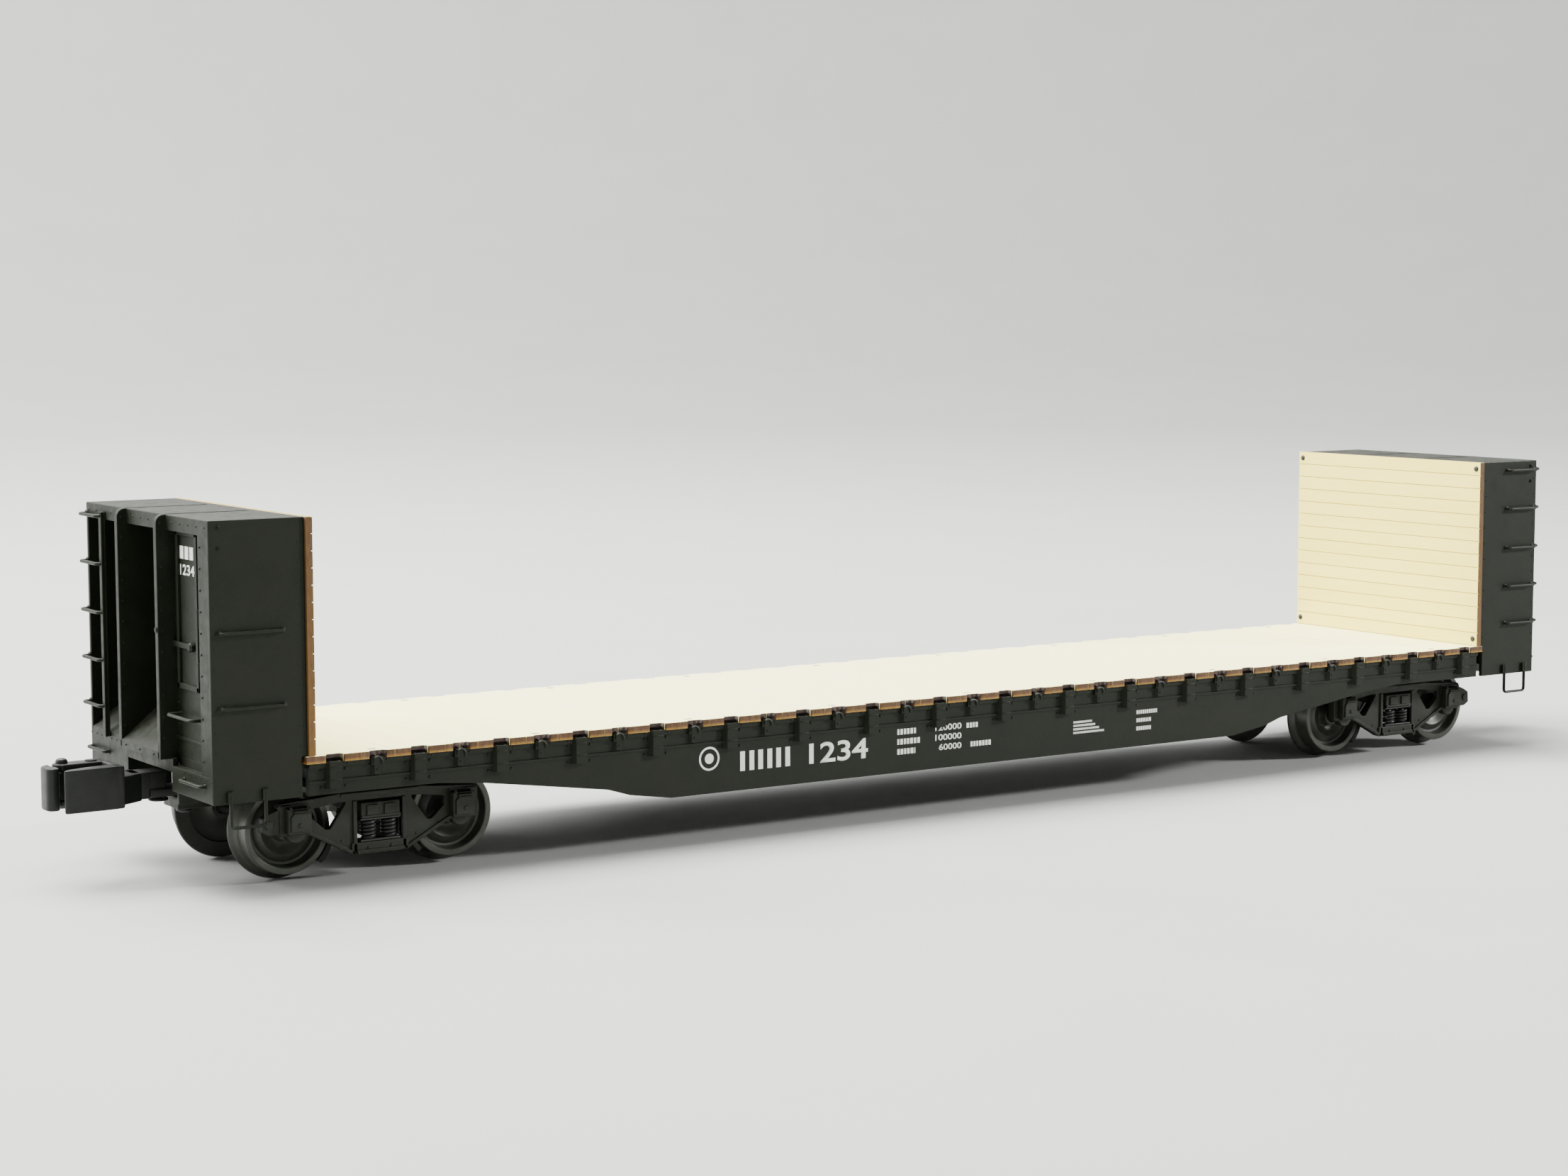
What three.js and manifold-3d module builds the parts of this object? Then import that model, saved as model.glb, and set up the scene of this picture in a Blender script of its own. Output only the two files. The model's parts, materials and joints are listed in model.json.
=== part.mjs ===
// Model bulkhead flat car, 1:48 scale, on two sprung trucks with truck-mounted couplers.
// Millimetres. X runs along the car, Y across it, Z up from the bottom of the wheel flanges.
// The origin is under the middle of the car. Both ends are the same design, turned half a turn
// about Z, and only the end at +X carries the hand brake.
import * as THREE from 'three';
import { mergeVertices } from 'three/addons/utils/BufferGeometryUtils.js';
import Module from 'manifold-3d';

const wasm = await Module();
wasm.setup();

// ---------------------------------------------------------------- driving dimensions
const DECK_TOP = 28.2;
const DECK_THICKNESS = 1.6;
const DECK_HALF_WIDTH = 34.1;
const DECK_HALF_LENGTH = 168.9;
const FLOOR_TOP = DECK_TOP - DECK_THICKNESS;
const FLOOR_THICKNESS = 1.0;
const PLAY = 0.05;
const FIT_GAP = 0.3;

const LOAD_HALF_LENGTH = 166.7;
const LINING_THICKNESS = 1.6;
const LINING_HALF_WIDTH = 34.05;
const LINING_BOARDS = 14;

const BULKHEAD_TOP = 76.8;
const BULKHEAD_INNER = LOAD_HALF_LENGTH + LINING_THICKNESS;
const BULKHEAD_OUTER = 188.8;
const BULKHEAD_HALF_WIDTH = 33.4;
const SHEET = 1.1;
const POST_OUTER = 190.9;
const POST_Y = 10.7;
const POST_THICKNESS = 1.6;
const PANEL_FACE = 187.0;
const CORNER_COLUMN_Y = 27.6;
const COUPLER_OPENING_HALF = 12.0;
const END_SILL_TOP = 26.2;
const MIDDLE_SILL_BOTTOM = 24.0;

const BODY_BOTTOM = 20.0;
const SILL_END = 168.0;
const WEB_INNER = 31.7;
const WEB_OUTER = 32.9;
// Fish-belly lower edge of the sides: distance from the middle, height of the edge.
const BELLY = [[139.0, 20.0], [128.0, 19.0], [116.0, 17.3], [98.0, 14.7], [92.5, 13.0], [82.0, 11.4]];
const RIDGE_Z = 22.7;

const BAY_PITCH = 19.12;
const POCKETS_PER_SIDE = 18;
const POCKET_HALF_WIDTHS = [2.1, 1.35];
const POCKET_RIM_HALF_WIDTH = 1.25;
const POCKET_OUTER = 34.3;
const POCKET_BOTTOM = 21.2;
const POCKET_TOP = 26.8;
const POCKET_WALL = 0.45;
const POCKET_NOTCH = 32.7;
const HOOK_OUTER = 34.0;
const HOOK_BOTTOM = 23.3;
const HOOK_TOP = 26.9;
const HOOK_NOTCH = 33.3;

const TRUCK_CENTRE = 148.0;
const HALF_WHEELBASE = 18.95;
const AXLE_Z = 11.1;
const TREAD_RADIUS = 9.5;
const FLANGE_RADIUS = 11.1;
const AXLE_RADIUS = 1.5;
const WHEEL_OUTER_Y = 19.8;
const WHEEL_BACK_Y = 13.9;
const FRAME_Y = 23.1;
const FRAME_THICKNESS = 2.2;
const WINDOW_HALF = 5.2;
const WINDOW_BOTTOM = 7.6;
const WINDOW_TOP = 16.4;
const KINGPIN_RADIUS = 1.5;
// Side frame seen from the side: distance from its middle, height.
const FRAME_OUTLINE = [[9.0, 18.3], [13.0, 17.9], [22.4, 17.3], [23.0, 16.6], [23.0, 11.0], [22.4, 10.4],
  [16.2, 10.4], [14.8, 9.6], [8.2, 6.1], [6.4, 5.1]];
const FRAME_OPENING = [[7.6, 16.3], [9.6, 16.6], [15.2, 15.8], [15.2, 13.6], [12.2, 10.9], [11.2, 10.9]];
const END_LUG = [[22.6, 16.4], [24.8, 15.5], [26.4, 14.6], [26.6, 11.8], [25.0, 10.9], [22.6, 11.0]];
const BOSS_RADIUS = 2.3;
const BOX_X = [16.2, 21.5];
const BOX_BOTTOM = 10.9;
const BOX_TOP = 16.4;
const BOX_OUTER = 26.0;
// Brake shoe beside a wheel, and the hanger that holds it to the bolster.
const SHOE_OUTLINE = [[9.3, 8.4], [10.2, 5.9], [11.6, 3.9], [10.4, 2.9], [8.9, 5.1], [7.8, 8.1]];
const HANGER_OUTLINE = [[3.2, 13.3], [4.5, 13.3], [9.4, 7.6], [8.2, 7.2]];
const SHOE_Y = [16.4, 19.4];

const COUPLER_TIP = 211.1 - TRUCK_CENTRE;
const HEAD_BACK = 48.5;
const HEAD_TOP = 25.3;
const HEAD_BOTTOM = 16.4;
const EAR_THICKNESS = 1.3;
const KNUCKLE_PIVOT = [58.3, -3.9];

// ---------------------------------------------------------------- colours and finishes
const CAR_PAINT = { color: 0x33362f, roughness: 0.5, metalness: 0.1 };
const TRUCK_PAINT = { color: 0x2c2e2a, roughness: 0.6, metalness: 0.2 };
const WHEEL_METAL = { color: 0x4a4b42, roughness: 0.4, metalness: 0.8 };
const STEEL = { color: 0x8c8d88, roughness: 0.3, metalness: 0.9 };
const COUPLER_METAL = { color: 0x30322e, roughness: 0.45, metalness: 0.7 };
const PALE_WOOD = { color: 0xe6d9b4, roughness: 0.75, metalness: 0.0 };

// ---------------------------------------------------------------- solids and placing
function toSolid(geometry) {
  const bare = geometry.clone();
  bare.deleteAttribute('normal');
  bare.deleteAttribute('uv');
  const merged = mergeVertices(bare, 1e-4);
  const corners = merged.index.array;
  const triangles = [];
  for (let i = 0; i < corners.length; i += 3) {
    const [a, b, c] = [corners[i], corners[i + 1], corners[i + 2]];
    if (a !== b && b !== c && c !== a) {
      triangles.push(a, b, c);
    }
  }
  const vertProperties = new Float32Array(merged.attributes.position.array);
  const triVerts = new Uint32Array(triangles);
  return new wasm.Manifold(new wasm.Mesh({ numProp: 3, vertProperties, triVerts }));
}

function toGeometry(solid) {
  const mesh = solid.getMesh();
  const geometry = new THREE.BufferGeometry();
  geometry.setAttribute('position', new THREE.BufferAttribute(new Float32Array(mesh.vertProperties), 3));
  geometry.setIndex(new THREE.BufferAttribute(new Uint32Array(mesh.triVerts), 1));
  geometry.computeVertexNormals();
  return geometry;
}

function join(solids) {
  return solids.reduce((whole, piece) => whole.add(piece));
}

function cut(body, tools) {
  return tools.reduce((rest, tool) => rest.subtract(tool), body);
}

// Box between two values on each axis.
function block([x0, x1], [y0, y1], [z0, z1]) {
  const geometry = new THREE.BoxGeometry(x1 - x0, y1 - y0, z1 - z0);
  geometry.translate((x0 + x1) / 2, (y0 + y1) / 2, (z0 + z1) / 2);
  return toSolid(geometry);
}

function outline(points) {
  return new THREE.Shape(points.map(([u, v]) => new THREE.Vector2(u, v)));
}

function extrude(shape, depth) {
  return new THREE.ExtrudeGeometry(shape, { depth, bevelEnabled: false, curveSegments: 6 });
}

// A shape drawn in X and Z, extruded across the car from y0 to y1.
function acrossY(shape, y0, y1) {
  const geometry = extrude(shape, y1 - y0);
  geometry.rotateX(Math.PI / 2);
  geometry.translate(0, y1, 0);
  return toSolid(geometry);
}

// A shape drawn in Y and Z, extruded along the car from x0 to x1.
function alongX(shape, x0, x1) {
  const geometry = extrude(shape, x1 - x0);
  geometry.applyMatrix4(new THREE.Matrix4().makeBasis(
    new THREE.Vector3(0, 1, 0), new THREE.Vector3(0, 0, 1), new THREE.Vector3(1, 0, 0)));
  geometry.translate(x0, 0, 0);
  return toSolid(geometry);
}

// A shape drawn in X and Y, extruded upwards from z0 to z1.
function upZ(shape, z0, z1) {
  const geometry = extrude(shape, z1 - z0);
  geometry.translate(0, 0, z0);
  return toSolid(geometry);
}

// Round bar from one point to another.
function bar(from, to, radius, sides = 6) {
  const start = new THREE.Vector3(...from);
  const end = new THREE.Vector3(...to);
  const axis = end.clone().sub(start);
  const geometry = new THREE.CylinderGeometry(radius, radius, axis.length(), sides);
  geometry.applyQuaternion(new THREE.Quaternion().setFromUnitVectors(
    new THREE.Vector3(0, 1, 0), axis.clone().normalize()));
  const middle = start.add(end).multiplyScalar(0.5);
  geometry.translate(middle.x, middle.y, middle.z);
  return toSolid(geometry);
}

// Round piece turned about the Y axis through (x, z); the profile is radius and y pairs.
function turnedAboutY(profile, x, z, segments) {
  const geometry = new THREE.LatheGeometry(profile.map(([r, y]) => new THREE.Vector2(r, y)), segments);
  geometry.translate(x, 0, z);
  return toSolid(geometry);
}

// Bar bent into a U: a block with a smaller block cut out of the side that faces the surface.
function grabBar(x, y, z, gapX, gapY, gapZ) {
  return block(x, y, z).subtract(block(gapX, gapY, gapZ));
}

const car = new THREE.Group();

function addPiece(parent, name, solid, finish) {
  const mesh = new THREE.Mesh(toGeometry(solid), new THREE.MeshStandardMaterial(finish));
  mesh.name = name;
  parent.add(mesh);
  return mesh;
}

function bothSides(make) {
  return [make(1), make(-1)];
}

// Two limits on Y, mirrored to the side given by the sign.
function mirrored([near, far], side) {
  return side > 0 ? [near, far] : [-far, -near];
}

const pocketCentres = Array.from({ length: POCKETS_PER_SIDE },
  (_, i) => (i - (POCKETS_PER_SIDE - 1) / 2) * BAY_PITCH);
const hookCentres = Array.from({ length: POCKETS_PER_SIDE - 1 },
  (_, i) => (i - (POCKETS_PER_SIDE - 2) / 2) * BAY_PITCH);
const slotCentres = hookCentres.filter((_, i) => i % 2 === 0);

// ---------------------------------------------------------------- underframe
function bellyShape(top, end, rise) {
  const left = BELLY.map(([x, z]) => [-x, z + rise]);
  const right = BELLY.map(([x, z]) => [x, z + rise]).reverse();
  const bottom = BODY_BOTTOM + rise;
  return outline([[-end, top], [-end, bottom], ...left, ...right, [end, bottom], [end, top]]);
}

// Casting that stands out from a side: as wide as twice halfBack at the back, and narrower in front.
function tapered(x, side, [halfBack, halfFront], [back, front], [bottom, top]) {
  const corners = [[x - halfBack, side * back], [x + halfBack, side * back],
    [x + halfFront, side * front], [x - halfFront, side * front]];
  return upZ(outline(side > 0 ? corners : corners.reverse()), bottom, top);
}

// The part of a stake pocket above the floor is narrower, to stand in the notch of the deck.
function pocketBlock(x, side) {
  const depth = [WEB_OUTER - PLAY, POCKET_OUTER];
  const rim = [POCKET_RIM_HALF_WIDTH, POCKET_RIM_HALF_WIDTH];
  return tapered(x, side, POCKET_HALF_WIDTHS, depth, [POCKET_BOTTOM, FLOOR_TOP])
    .add(tapered(x, side, rim, depth, [FLOOR_TOP - 0.5, POCKET_TOP]));
}

function pocketHollow(x, side) {
  const half = POCKET_RIM_HALF_WIDTH - POCKET_WALL;
  return tapered(x, side, [half, half], [WEB_OUTER + 0.2, POCKET_OUTER - POCKET_WALL],
    [POCKET_BOTTOM - 1, POCKET_TOP + 1]);
}

function tieHook(x, side) {
  const root = WEB_OUTER - PLAY;
  const boss = tapered(x, side, [1.7, 1.5], [root, HOOK_OUTER], [HOOK_BOTTOM + 2.0, FLOOR_TOP]);
  const lip = tapered(x, side, [1.3, 1.3], [HOOK_NOTCH + 0.15, HOOK_OUTER], [FLOOR_TOP - 0.5, HOOK_TOP]);
  const foot = tapered(x, side, [1.35, 0.7], [root, WEB_OUTER + 0.9], [HOOK_BOTTOM, HOOK_BOTTOM + 2.1]);
  return join([boss, lip, foot]);
}

// Beam across the car from side to side, deepest over the middle.
function crossBeam(x, halfLength, sideBottom, middleHalf, middleBottom) {
  const reach = WEB_INNER + PLAY;
  const top = FLOOR_TOP - 0.5;
  const shape = outline([[-reach, top], [-reach, sideBottom], [-middleHalf, middleBottom],
    [middleHalf, middleBottom], [reach, sideBottom], [reach, top]]);
  return alongX(shape, x - halfLength, x + halfLength);
}

function makeUnderframe() {
  const floorEnd = PANEL_FACE - SHEET - FIT_GAP;
  const floor = block([-floorEnd, floorEnd], [-31.9, 31.9], [FLOOR_TOP - FLOOR_THICKNESS, FLOOR_TOP]);
  const flangeShelf = block([-SILL_END, SILL_END], [-33.4, 33.4], [FLOOR_TOP - FLOOR_THICKNESS, FLOOR_TOP]);
  const webs = bothSides((side) => {
    const [y0, y1] = mirrored([WEB_INNER, WEB_OUTER], side);
    return acrossY(bellyShape(FLOOR_TOP - 0.5, SILL_END, 0), y0, y1);
  });
  const ridges = bothSides((side) => block([-SILL_END, SILL_END],
    mirrored([WEB_OUTER - PLAY, WEB_OUTER + 0.4], side), [RIDGE_Z - 0.25, RIDGE_Z + 0.25]));
  const centreEnd = 138.0;
  const centreSill = acrossY(bellyShape(FLOOR_TOP - 0.5, centreEnd, 1.6), -5.0, 5.0)
    .intersect(block([-centreEnd, centreEnd], [-6, 6], [0, FLOOR_TOP]));
  const centreEnds = [-1, 1].map((end) => {
    const [x0, x1] = mirrored([centreEnd - 1, 156.0], end);
    return block([x0, x1], [-5.0, 5.0], [21.6, FLOOR_TOP - 0.5]);
  });
  const couplerCovers = [-1, 1].map((end) => block(mirrored([155.0, floorEnd - 0.3], end), [-5.0, 5.0],
    [MIDDLE_SILL_BOTTOM - 0.3, FLOOR_TOP - 0.5]));
  const bearers = [-5, -3, -1, 1, 3, 5].map((step) => crossBeam(step * BAY_PITCH, 0.6, 20.6, 8, 14.6));
  const bolsters = [-TRUCK_CENTRE, TRUCK_CENTRE].map((x) => crossBeam(x, 4.0, 22.2, 12, 20.4));
  const stringers = bothSides((side) => block([-166, 166], mirrored([17.4, 18.6], side),
    [23.9, FLOOR_TOP - 0.5]));
  const pockets = [];
  const hollows = [];
  for (const side of [1, -1]) {
    pocketCentres.forEach((x) => pockets.push(pocketBlock(x, side)));
    pocketCentres.forEach((x) => hollows.push(pocketHollow(x, side)));
    hookCentres.forEach((x) => pockets.push(tieHook(x, side)));
  }
  const pinHoles = [-TRUCK_CENTRE, TRUCK_CENTRE].map((x) => bar([x, 0, 18], [x, 0, 25],
    KINGPIN_RADIUS + 0.15, 10));
  const frame = join([floor, flangeShelf, ...webs, ...ridges, centreSill, ...centreEnds, ...couplerCovers,
    ...bearers, ...bolsters, ...stringers, ...pockets]);
  const pipeHole = block([-2 * BAY_PITCH, 0], [14.2, 19.8], [18.2, 22.2])
    .intersect(block([-BAY_PITCH - 1, -BAY_PITCH + 1], [0, 30], [0, 30]));
  return cut(frame, [...pinHoles, pipeHole, ...hollows]);
}
addPiece(car, 'underframe', makeUnderframe(), CAR_PAINT);

// ---------------------------------------------------------------- wood deck
function makeDeck() {
  const board = block([-DECK_HALF_LENGTH, DECK_HALF_LENGTH], [-DECK_HALF_WIDTH, DECK_HALF_WIDTH],
    [FLOOR_TOP + PLAY, DECK_TOP]);
  const through = [FLOOR_TOP - 1, DECK_TOP + 1];
  const tools = [];
  for (const side of [1, -1]) {
    const edge = DECK_HALF_WIDTH + 0.5;
    pocketCentres.forEach((x) => tools.push(tapered(x, side, [1.45, 2.35], [POCKET_NOTCH, edge], through)));
    hookCentres.forEach((x) => tools.push(tapered(x, side, [1.5, 2.35], [HOOK_NOTCH, edge], through)));
    slotCentres.forEach((x) => tools.push(block([x - 0.9, x + 0.9], mirrored([30.6, 31.4], side), through)));
  }
  return cut(board, tools);
}
addPiece(car, 'wood_deck', makeDeck(), PALE_WOOD);

// ---------------------------------------------------------------- one end, outward along +X
function makeBulkhead() {
  const half = BULKHEAD_HALF_WIDTH;
  const inside = half - SHEET;
  const sheetBottom = DECK_TOP + PLAY;
  const postBottom = FLOOR_TOP + PLAY;
  const innerSheet = block([BULKHEAD_INNER, BULKHEAD_INNER + SHEET], [-half, half],
    [sheetBottom, BULKHEAD_TOP]);
  const sides = bothSides((side) => block([BULKHEAD_INNER, BULKHEAD_OUTER], mirrored([inside, half], side),
    [sheetBottom, BULKHEAD_TOP]));
  const skirts = bothSides((side) => block([SILL_END + 1.5, BULKHEAD_OUTER], mirrored([inside, half], side),
    [BODY_BOTTOM, sheetBottom + 1]));
  const roof = block([BULKHEAD_INNER, BULKHEAD_OUTER], [-half, half], [BULKHEAD_TOP - SHEET, BULKHEAD_TOP]);
  const topBeam = block([BULKHEAD_OUTER - SHEET, BULKHEAD_OUTER], [-half, half],
    [BULKHEAD_TOP - 3.2, BULKHEAD_TOP]);
  const posts = bothSides((side) => {
    const shape = new THREE.Shape();
    shape.moveTo(BULKHEAD_INNER + 0.5, postBottom);
    shape.lineTo(POST_OUTER, postBottom);
    shape.lineTo(POST_OUTER, BULKHEAD_TOP - 1.6);
    shape.absarc(POST_OUTER - 1.6, BULKHEAD_TOP - 1.6, 1.6, 0, Math.PI / 2, false);
    shape.lineTo(BULKHEAD_INNER + 0.5, BULKHEAD_TOP);
    const [y0, y1] = mirrored([POST_Y - POST_THICKNESS / 2, POST_Y + POST_THICKNESS / 2], side);
    const foot = block([BULKHEAD_INNER - 1, DECK_HALF_LENGTH + FIT_GAP], [y0 - 1, y1 + 1],
      [postBottom - 1, sheetBottom]);
    return acrossY(shape, y0, y1).subtract(foot);
  });
  const panel = block([PANEL_FACE - SHEET, PANEL_FACE], [POST_Y, inside + 0.1],
    [END_SILL_TOP, BULKHEAD_TOP - 0.5]);
  const cornerColumn = block([PANEL_FACE - SHEET, BULKHEAD_OUTER], [CORNER_COLUMN_Y, half],
    [BODY_BOTTOM, BULKHEAD_TOP]);
  const apron = (outer, inner, rise) => outline([[outer, END_SILL_TOP + 0.4], [outer, END_SILL_TOP + 2.0],
    [inner, END_SILL_TOP + 2.0 + rise], [inner, END_SILL_TOP + 0.4 + rise]]);
  const middleApron = acrossY(apron(POST_OUTER, 181.0, 8.0), -POST_Y, POST_Y);
  const ladderApron = acrossY(apron(BULKHEAD_OUTER, 182.5, 4.6), -inside - 0.1, -POST_Y);
  const sillBesideLadder = block([BULKHEAD_OUTER - SHEET, BULKHEAD_OUTER], [-half, -COUPLER_OPENING_HALF],
    [BODY_BOTTOM, END_SILL_TOP + 1.5]);
  const sillOverCoupler = block([BULKHEAD_OUTER - SHEET, BULKHEAD_OUTER],
    [-COUPLER_OPENING_HALF - 1, COUPLER_OPENING_HALF + 1], [MIDDLE_SILL_BOTTOM, END_SILL_TOP + 0.8]);
  const sillUnderPanel = block([PANEL_FACE - SHEET, BULKHEAD_OUTER], [COUPLER_OPENING_HALF, half],
    [BODY_BOTTOM, END_SILL_TOP - 0.8]);
  const sillRiser = block([PANEL_FACE - SHEET, PANEL_FACE], [COUPLER_OPENING_HALF, half],
    [END_SILL_TOP - 1, END_SILL_TOP + 1]);
  return join([innerSheet, ...sides, ...skirts, roof, topBeam, ...posts, panel, cornerColumn, middleApron,
    ladderApron, sillBesideLadder, sillOverCoupler, sillUnderPanel, sillRiser]);
}

function makeLining() {
  const pitch = (BULKHEAD_TOP - DECK_TOP) / LINING_BOARDS;
  const board = block([LOAD_HALF_LENGTH, BULKHEAD_INNER - PLAY], [-LINING_HALF_WIDTH, LINING_HALF_WIDTH],
    [DECK_TOP + PLAY, BULKHEAD_TOP]);
  const grooves = Array.from({ length: LINING_BOARDS - 1 }, (_, i) => {
    const z = DECK_TOP + (i + 1) * pitch;
    return block([LOAD_HALF_LENGTH - 1, LOAD_HALF_LENGTH + 0.25],
      [-LINING_HALF_WIDTH - 1, LINING_HALF_WIDTH + 1], [z - 0.12, z + 0.12]);
  });
  return cut(board, grooves);
}

const RUNG_HEIGHTS = [5.5, 15.4, 25.6, 36.0, 46.2].map((rise) => DECK_TOP + rise);
const GRAB_HEIGHTS = [11.0, 26.1].map((rise) => DECK_TOP + rise);
const WIRE = 0.45;

function makeEndLadder() {
  const face = BULKHEAD_OUTER + PLAY;
  const stile = block([face, face + 1.0], [-23.8, -21.8], [END_SILL_TOP + 1.0, BULKHEAD_TOP - 1.5]);
  const rungs = RUNG_HEIGHTS.map((z) => grabBar([face, face + 2.2], [-33.2, -22.4], [z - WIRE, z + WIRE],
    [face - 1, face + 2.2 - 2 * WIRE], [-33.2 + 2 * WIRE, -23.7], [z - 1, z + 1]));
  return join([stile, ...rungs]);
}

function makeSideBar(x0, x1, z, side) {
  const face = BULKHEAD_HALF_WIDTH + PLAY;
  return grabBar([x0, x1], mirrored([face, face + 1.65], side), [z - WIRE, z + WIRE],
    [x0 + 2 * WIRE, x1 - 2 * WIRE], mirrored([face - 1, face + 1.65 - 2 * WIRE], side), [z - 1, z + 1]);
}

function makeStep(side) {
  const face = BULKHEAD_HALF_WIDTH + PLAY;
  return grabBar([177.3, 185.6], mirrored([face, face + 0.7], side), [14.8, 22.6],
    [178.2, 184.7], mirrored([face - 1, face + 1.7], side), [15.7, 24.0]);
}

// Hand holds that are fixed into the end: one on the panel, one on the sill and the lowest ladder rung.
function makeEndGrabs() {
  const bars = [[13.0, 26.0, DECK_TOP + 8.0, PANEL_FACE], [18.4, 30.0, 23.4, BULKHEAD_OUTER],
    [-32.8, -22.4, 23.85, BULKHEAD_OUTER]];
  return bars.map(([y0, y1, z, face]) => {
    const outer = BULKHEAD_OUTER + 1.65;
    return grabBar([face - 0.5, outer], [y0, y1], [z - WIRE, z + WIRE],
      [face - 0.6, outer - 2 * WIRE], [y0 + 2 * WIRE, y1 - 2 * WIRE], [z - 1, z + 1]);
  });
}

function addEnd(side, turn) {
  const end = new THREE.Group();
  end.rotation.z = turn;
  addPiece(end, `bulkhead_${side}`, join([makeBulkhead(), ...makeEndGrabs()]), CAR_PAINT);
  addPiece(end, `lining_${side}`, makeLining(), PALE_WOOD);
  addPiece(end, `end_ladder_${side}`, makeEndLadder(), CAR_PAINT);
  RUNG_HEIGHTS.forEach((z, i) => {
    addPiece(end, `side_rung_${side}_${i + 1}`, makeSideBar(177.2, 188.0, z, -1), CAR_PAINT);
  });
  GRAB_HEIGHTS.forEach((z, i) => {
    addPiece(end, `side_grab_${side}_${i + 1}`, makeSideBar(172.8, 187.4, z, 1), CAR_PAINT);
  });
  addPiece(end, `step_${side}_ladder`, makeStep(-1), CAR_PAINT);
  addPiece(end, `step_${side}_grab`, makeStep(1), CAR_PAINT);
  car.add(end);
}
addEnd('right', 0);
addEnd('left', Math.PI);

// ---------------------------------------------------------------- hand brake at the +X end
const BRAKE_Z = 50.0;
const BRAKE_FACE = POST_OUTER + PLAY;

function makeBrakeHousing() {
  const plate = block([BRAKE_FACE, BRAKE_FACE + 0.8], [-11.5, 11.5], [BRAKE_Z - 7, BRAKE_Z + 7]);
  const box = alongX(outline([[-4.6, BRAKE_Z - 6], [4.6, BRAKE_Z - 6], [4.6, BRAKE_Z + 3],
    [2.6, BRAKE_Z + 5.4], [-2.6, BRAKE_Z + 5.4], [-4.6, BRAKE_Z + 3]]), BRAKE_FACE + 0.5, BRAKE_FACE + 3.2);
  const bore = bar([BRAKE_FACE + 1.2, 0, BRAKE_Z], [BRAKE_FACE + 5, 0, BRAKE_Z], 1.1, 10);
  return join([plate, box]).subtract(bore);
}

function makeBrakeWheel() {
  const rimX = BRAKE_FACE + 5.6;
  const spokeCount = 5;
  const rim = new THREE.TorusGeometry(5.4, 0.5, 5, 18);
  rim.rotateY(Math.PI / 2);
  rim.translate(rimX, 0, BRAKE_Z);
  const spokes = Array.from({ length: spokeCount }, (_, i) => {
    const turn = (i / spokeCount) * 2 * Math.PI;
    const rimPoint = [rimX, 5.3 * Math.sin(turn), BRAKE_Z + 5.3 * Math.cos(turn)];
    return bar([rimX - 0.6, 0, BRAKE_Z], rimPoint, 0.35, 4);
  });
  const hub = bar([BRAKE_FACE + 3.6, 0, BRAKE_Z], [rimX + 0.4, 0, BRAKE_Z], 1.3, 10);
  const shaft = bar([BRAKE_FACE + 1.6, 0, BRAKE_Z], [rimX, 0, BRAKE_Z], 0.75, 10);
  return join([toSolid(rim), hub, shaft, ...spokes]);
}
addPiece(car, 'brake_housing', makeBrakeHousing(), CAR_PAINT);
addPiece(car, 'brake_wheel', makeBrakeWheel(), CAR_PAINT);

// ---------------------------------------------------------------- air brake gear under the floor
function makeBrakeGear() {
  const z = 20.2;
  const y = 17.0;
  const reservoir = bar([-51, y, z], [-26, y, z], 4.0, 14);
  const valve = block([-17, -9], [y - 3, y + 3], [z - 3, z + 3]);
  const cylinder = bar([-4, y, z], [10, y, z], 3.5, 14);
  const pushRod = bar([9, y, z], [16, y, z], 0.7, 8);
  const pipes = [1.6, -1.6].map((off) => bar([-30, y + off, z], [0, y + off, z], 0.5, 6));
  const hangers = [-44, -33, -13, 3].map((x) => block([x - 0.6, x + 0.6], [y - 1.5, y + 1.5],
    [z + 1, FLOOR_TOP - FLOOR_THICKNESS - PLAY]));
  return join([reservoir, valve, cylinder, pushRod, ...pipes, ...hangers])
    .subtract(block([-60, 60], [17.3, 18.7], [23.8, FLOOR_TOP]));
}
addPiece(car, 'brake_gear', makeBrakeGear(), TRUCK_PAINT);

// ---------------------------------------------------------------- truck, outward along +X
function makeBolster() {
  const beamHalf = 4.6;
  const shape = outline([[-24.6, 12.6], [-24.6, 15.9], [-19.0, 16.6], [-9.0, 19.9], [9.0, 19.9],
    [19.0, 16.6], [24.6, 15.9], [24.6, 12.6], [9.0, 13.4], [-9.0, 13.4]]);
  const beam = alongX(shape, -beamHalf, beamHalf);
  const arm = block([beamHalf - 1, 36.4], [-4.0, 4.0], [14.6, 17.2]);
  const armNeck = block([beamHalf - 1, 12.0], [-6.5, 6.5], [14.6, 17.2]);
  const pinHole = bar([0, 0, 10], [0, 0, 22], KINGPIN_RADIUS + 0.4, 12);
  const rivetHole = bar([33.4, 0, 12], [33.4, 0, 19], 1.3, 10);
  const sidePads = bothSides((side) => {
    const [y0, y1] = mirrored([24.5, 25.0], side);
    return join([1.9, -1.9].map((x) => block([x - 1.1, x + 1.1], [y0, y1], [13.3, 15.3])));
  });
  const shoes = [[1, 1], [1, -1], [-1, 1], [-1, -1]].map(([end, side]) => {
    const [shoe, hanger] = [SHOE_OUTLINE, HANGER_OUTLINE].map((points) => acrossY(
      outline(points.map(([x, z]) => [end * x, z])), ...mirrored(SHOE_Y, side)));
    return shoe.add(hanger);
  });
  return cut(join([beam, arm, armNeck, ...sidePads, ...shoes]), [pinHole, rivetHole]);
}

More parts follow.
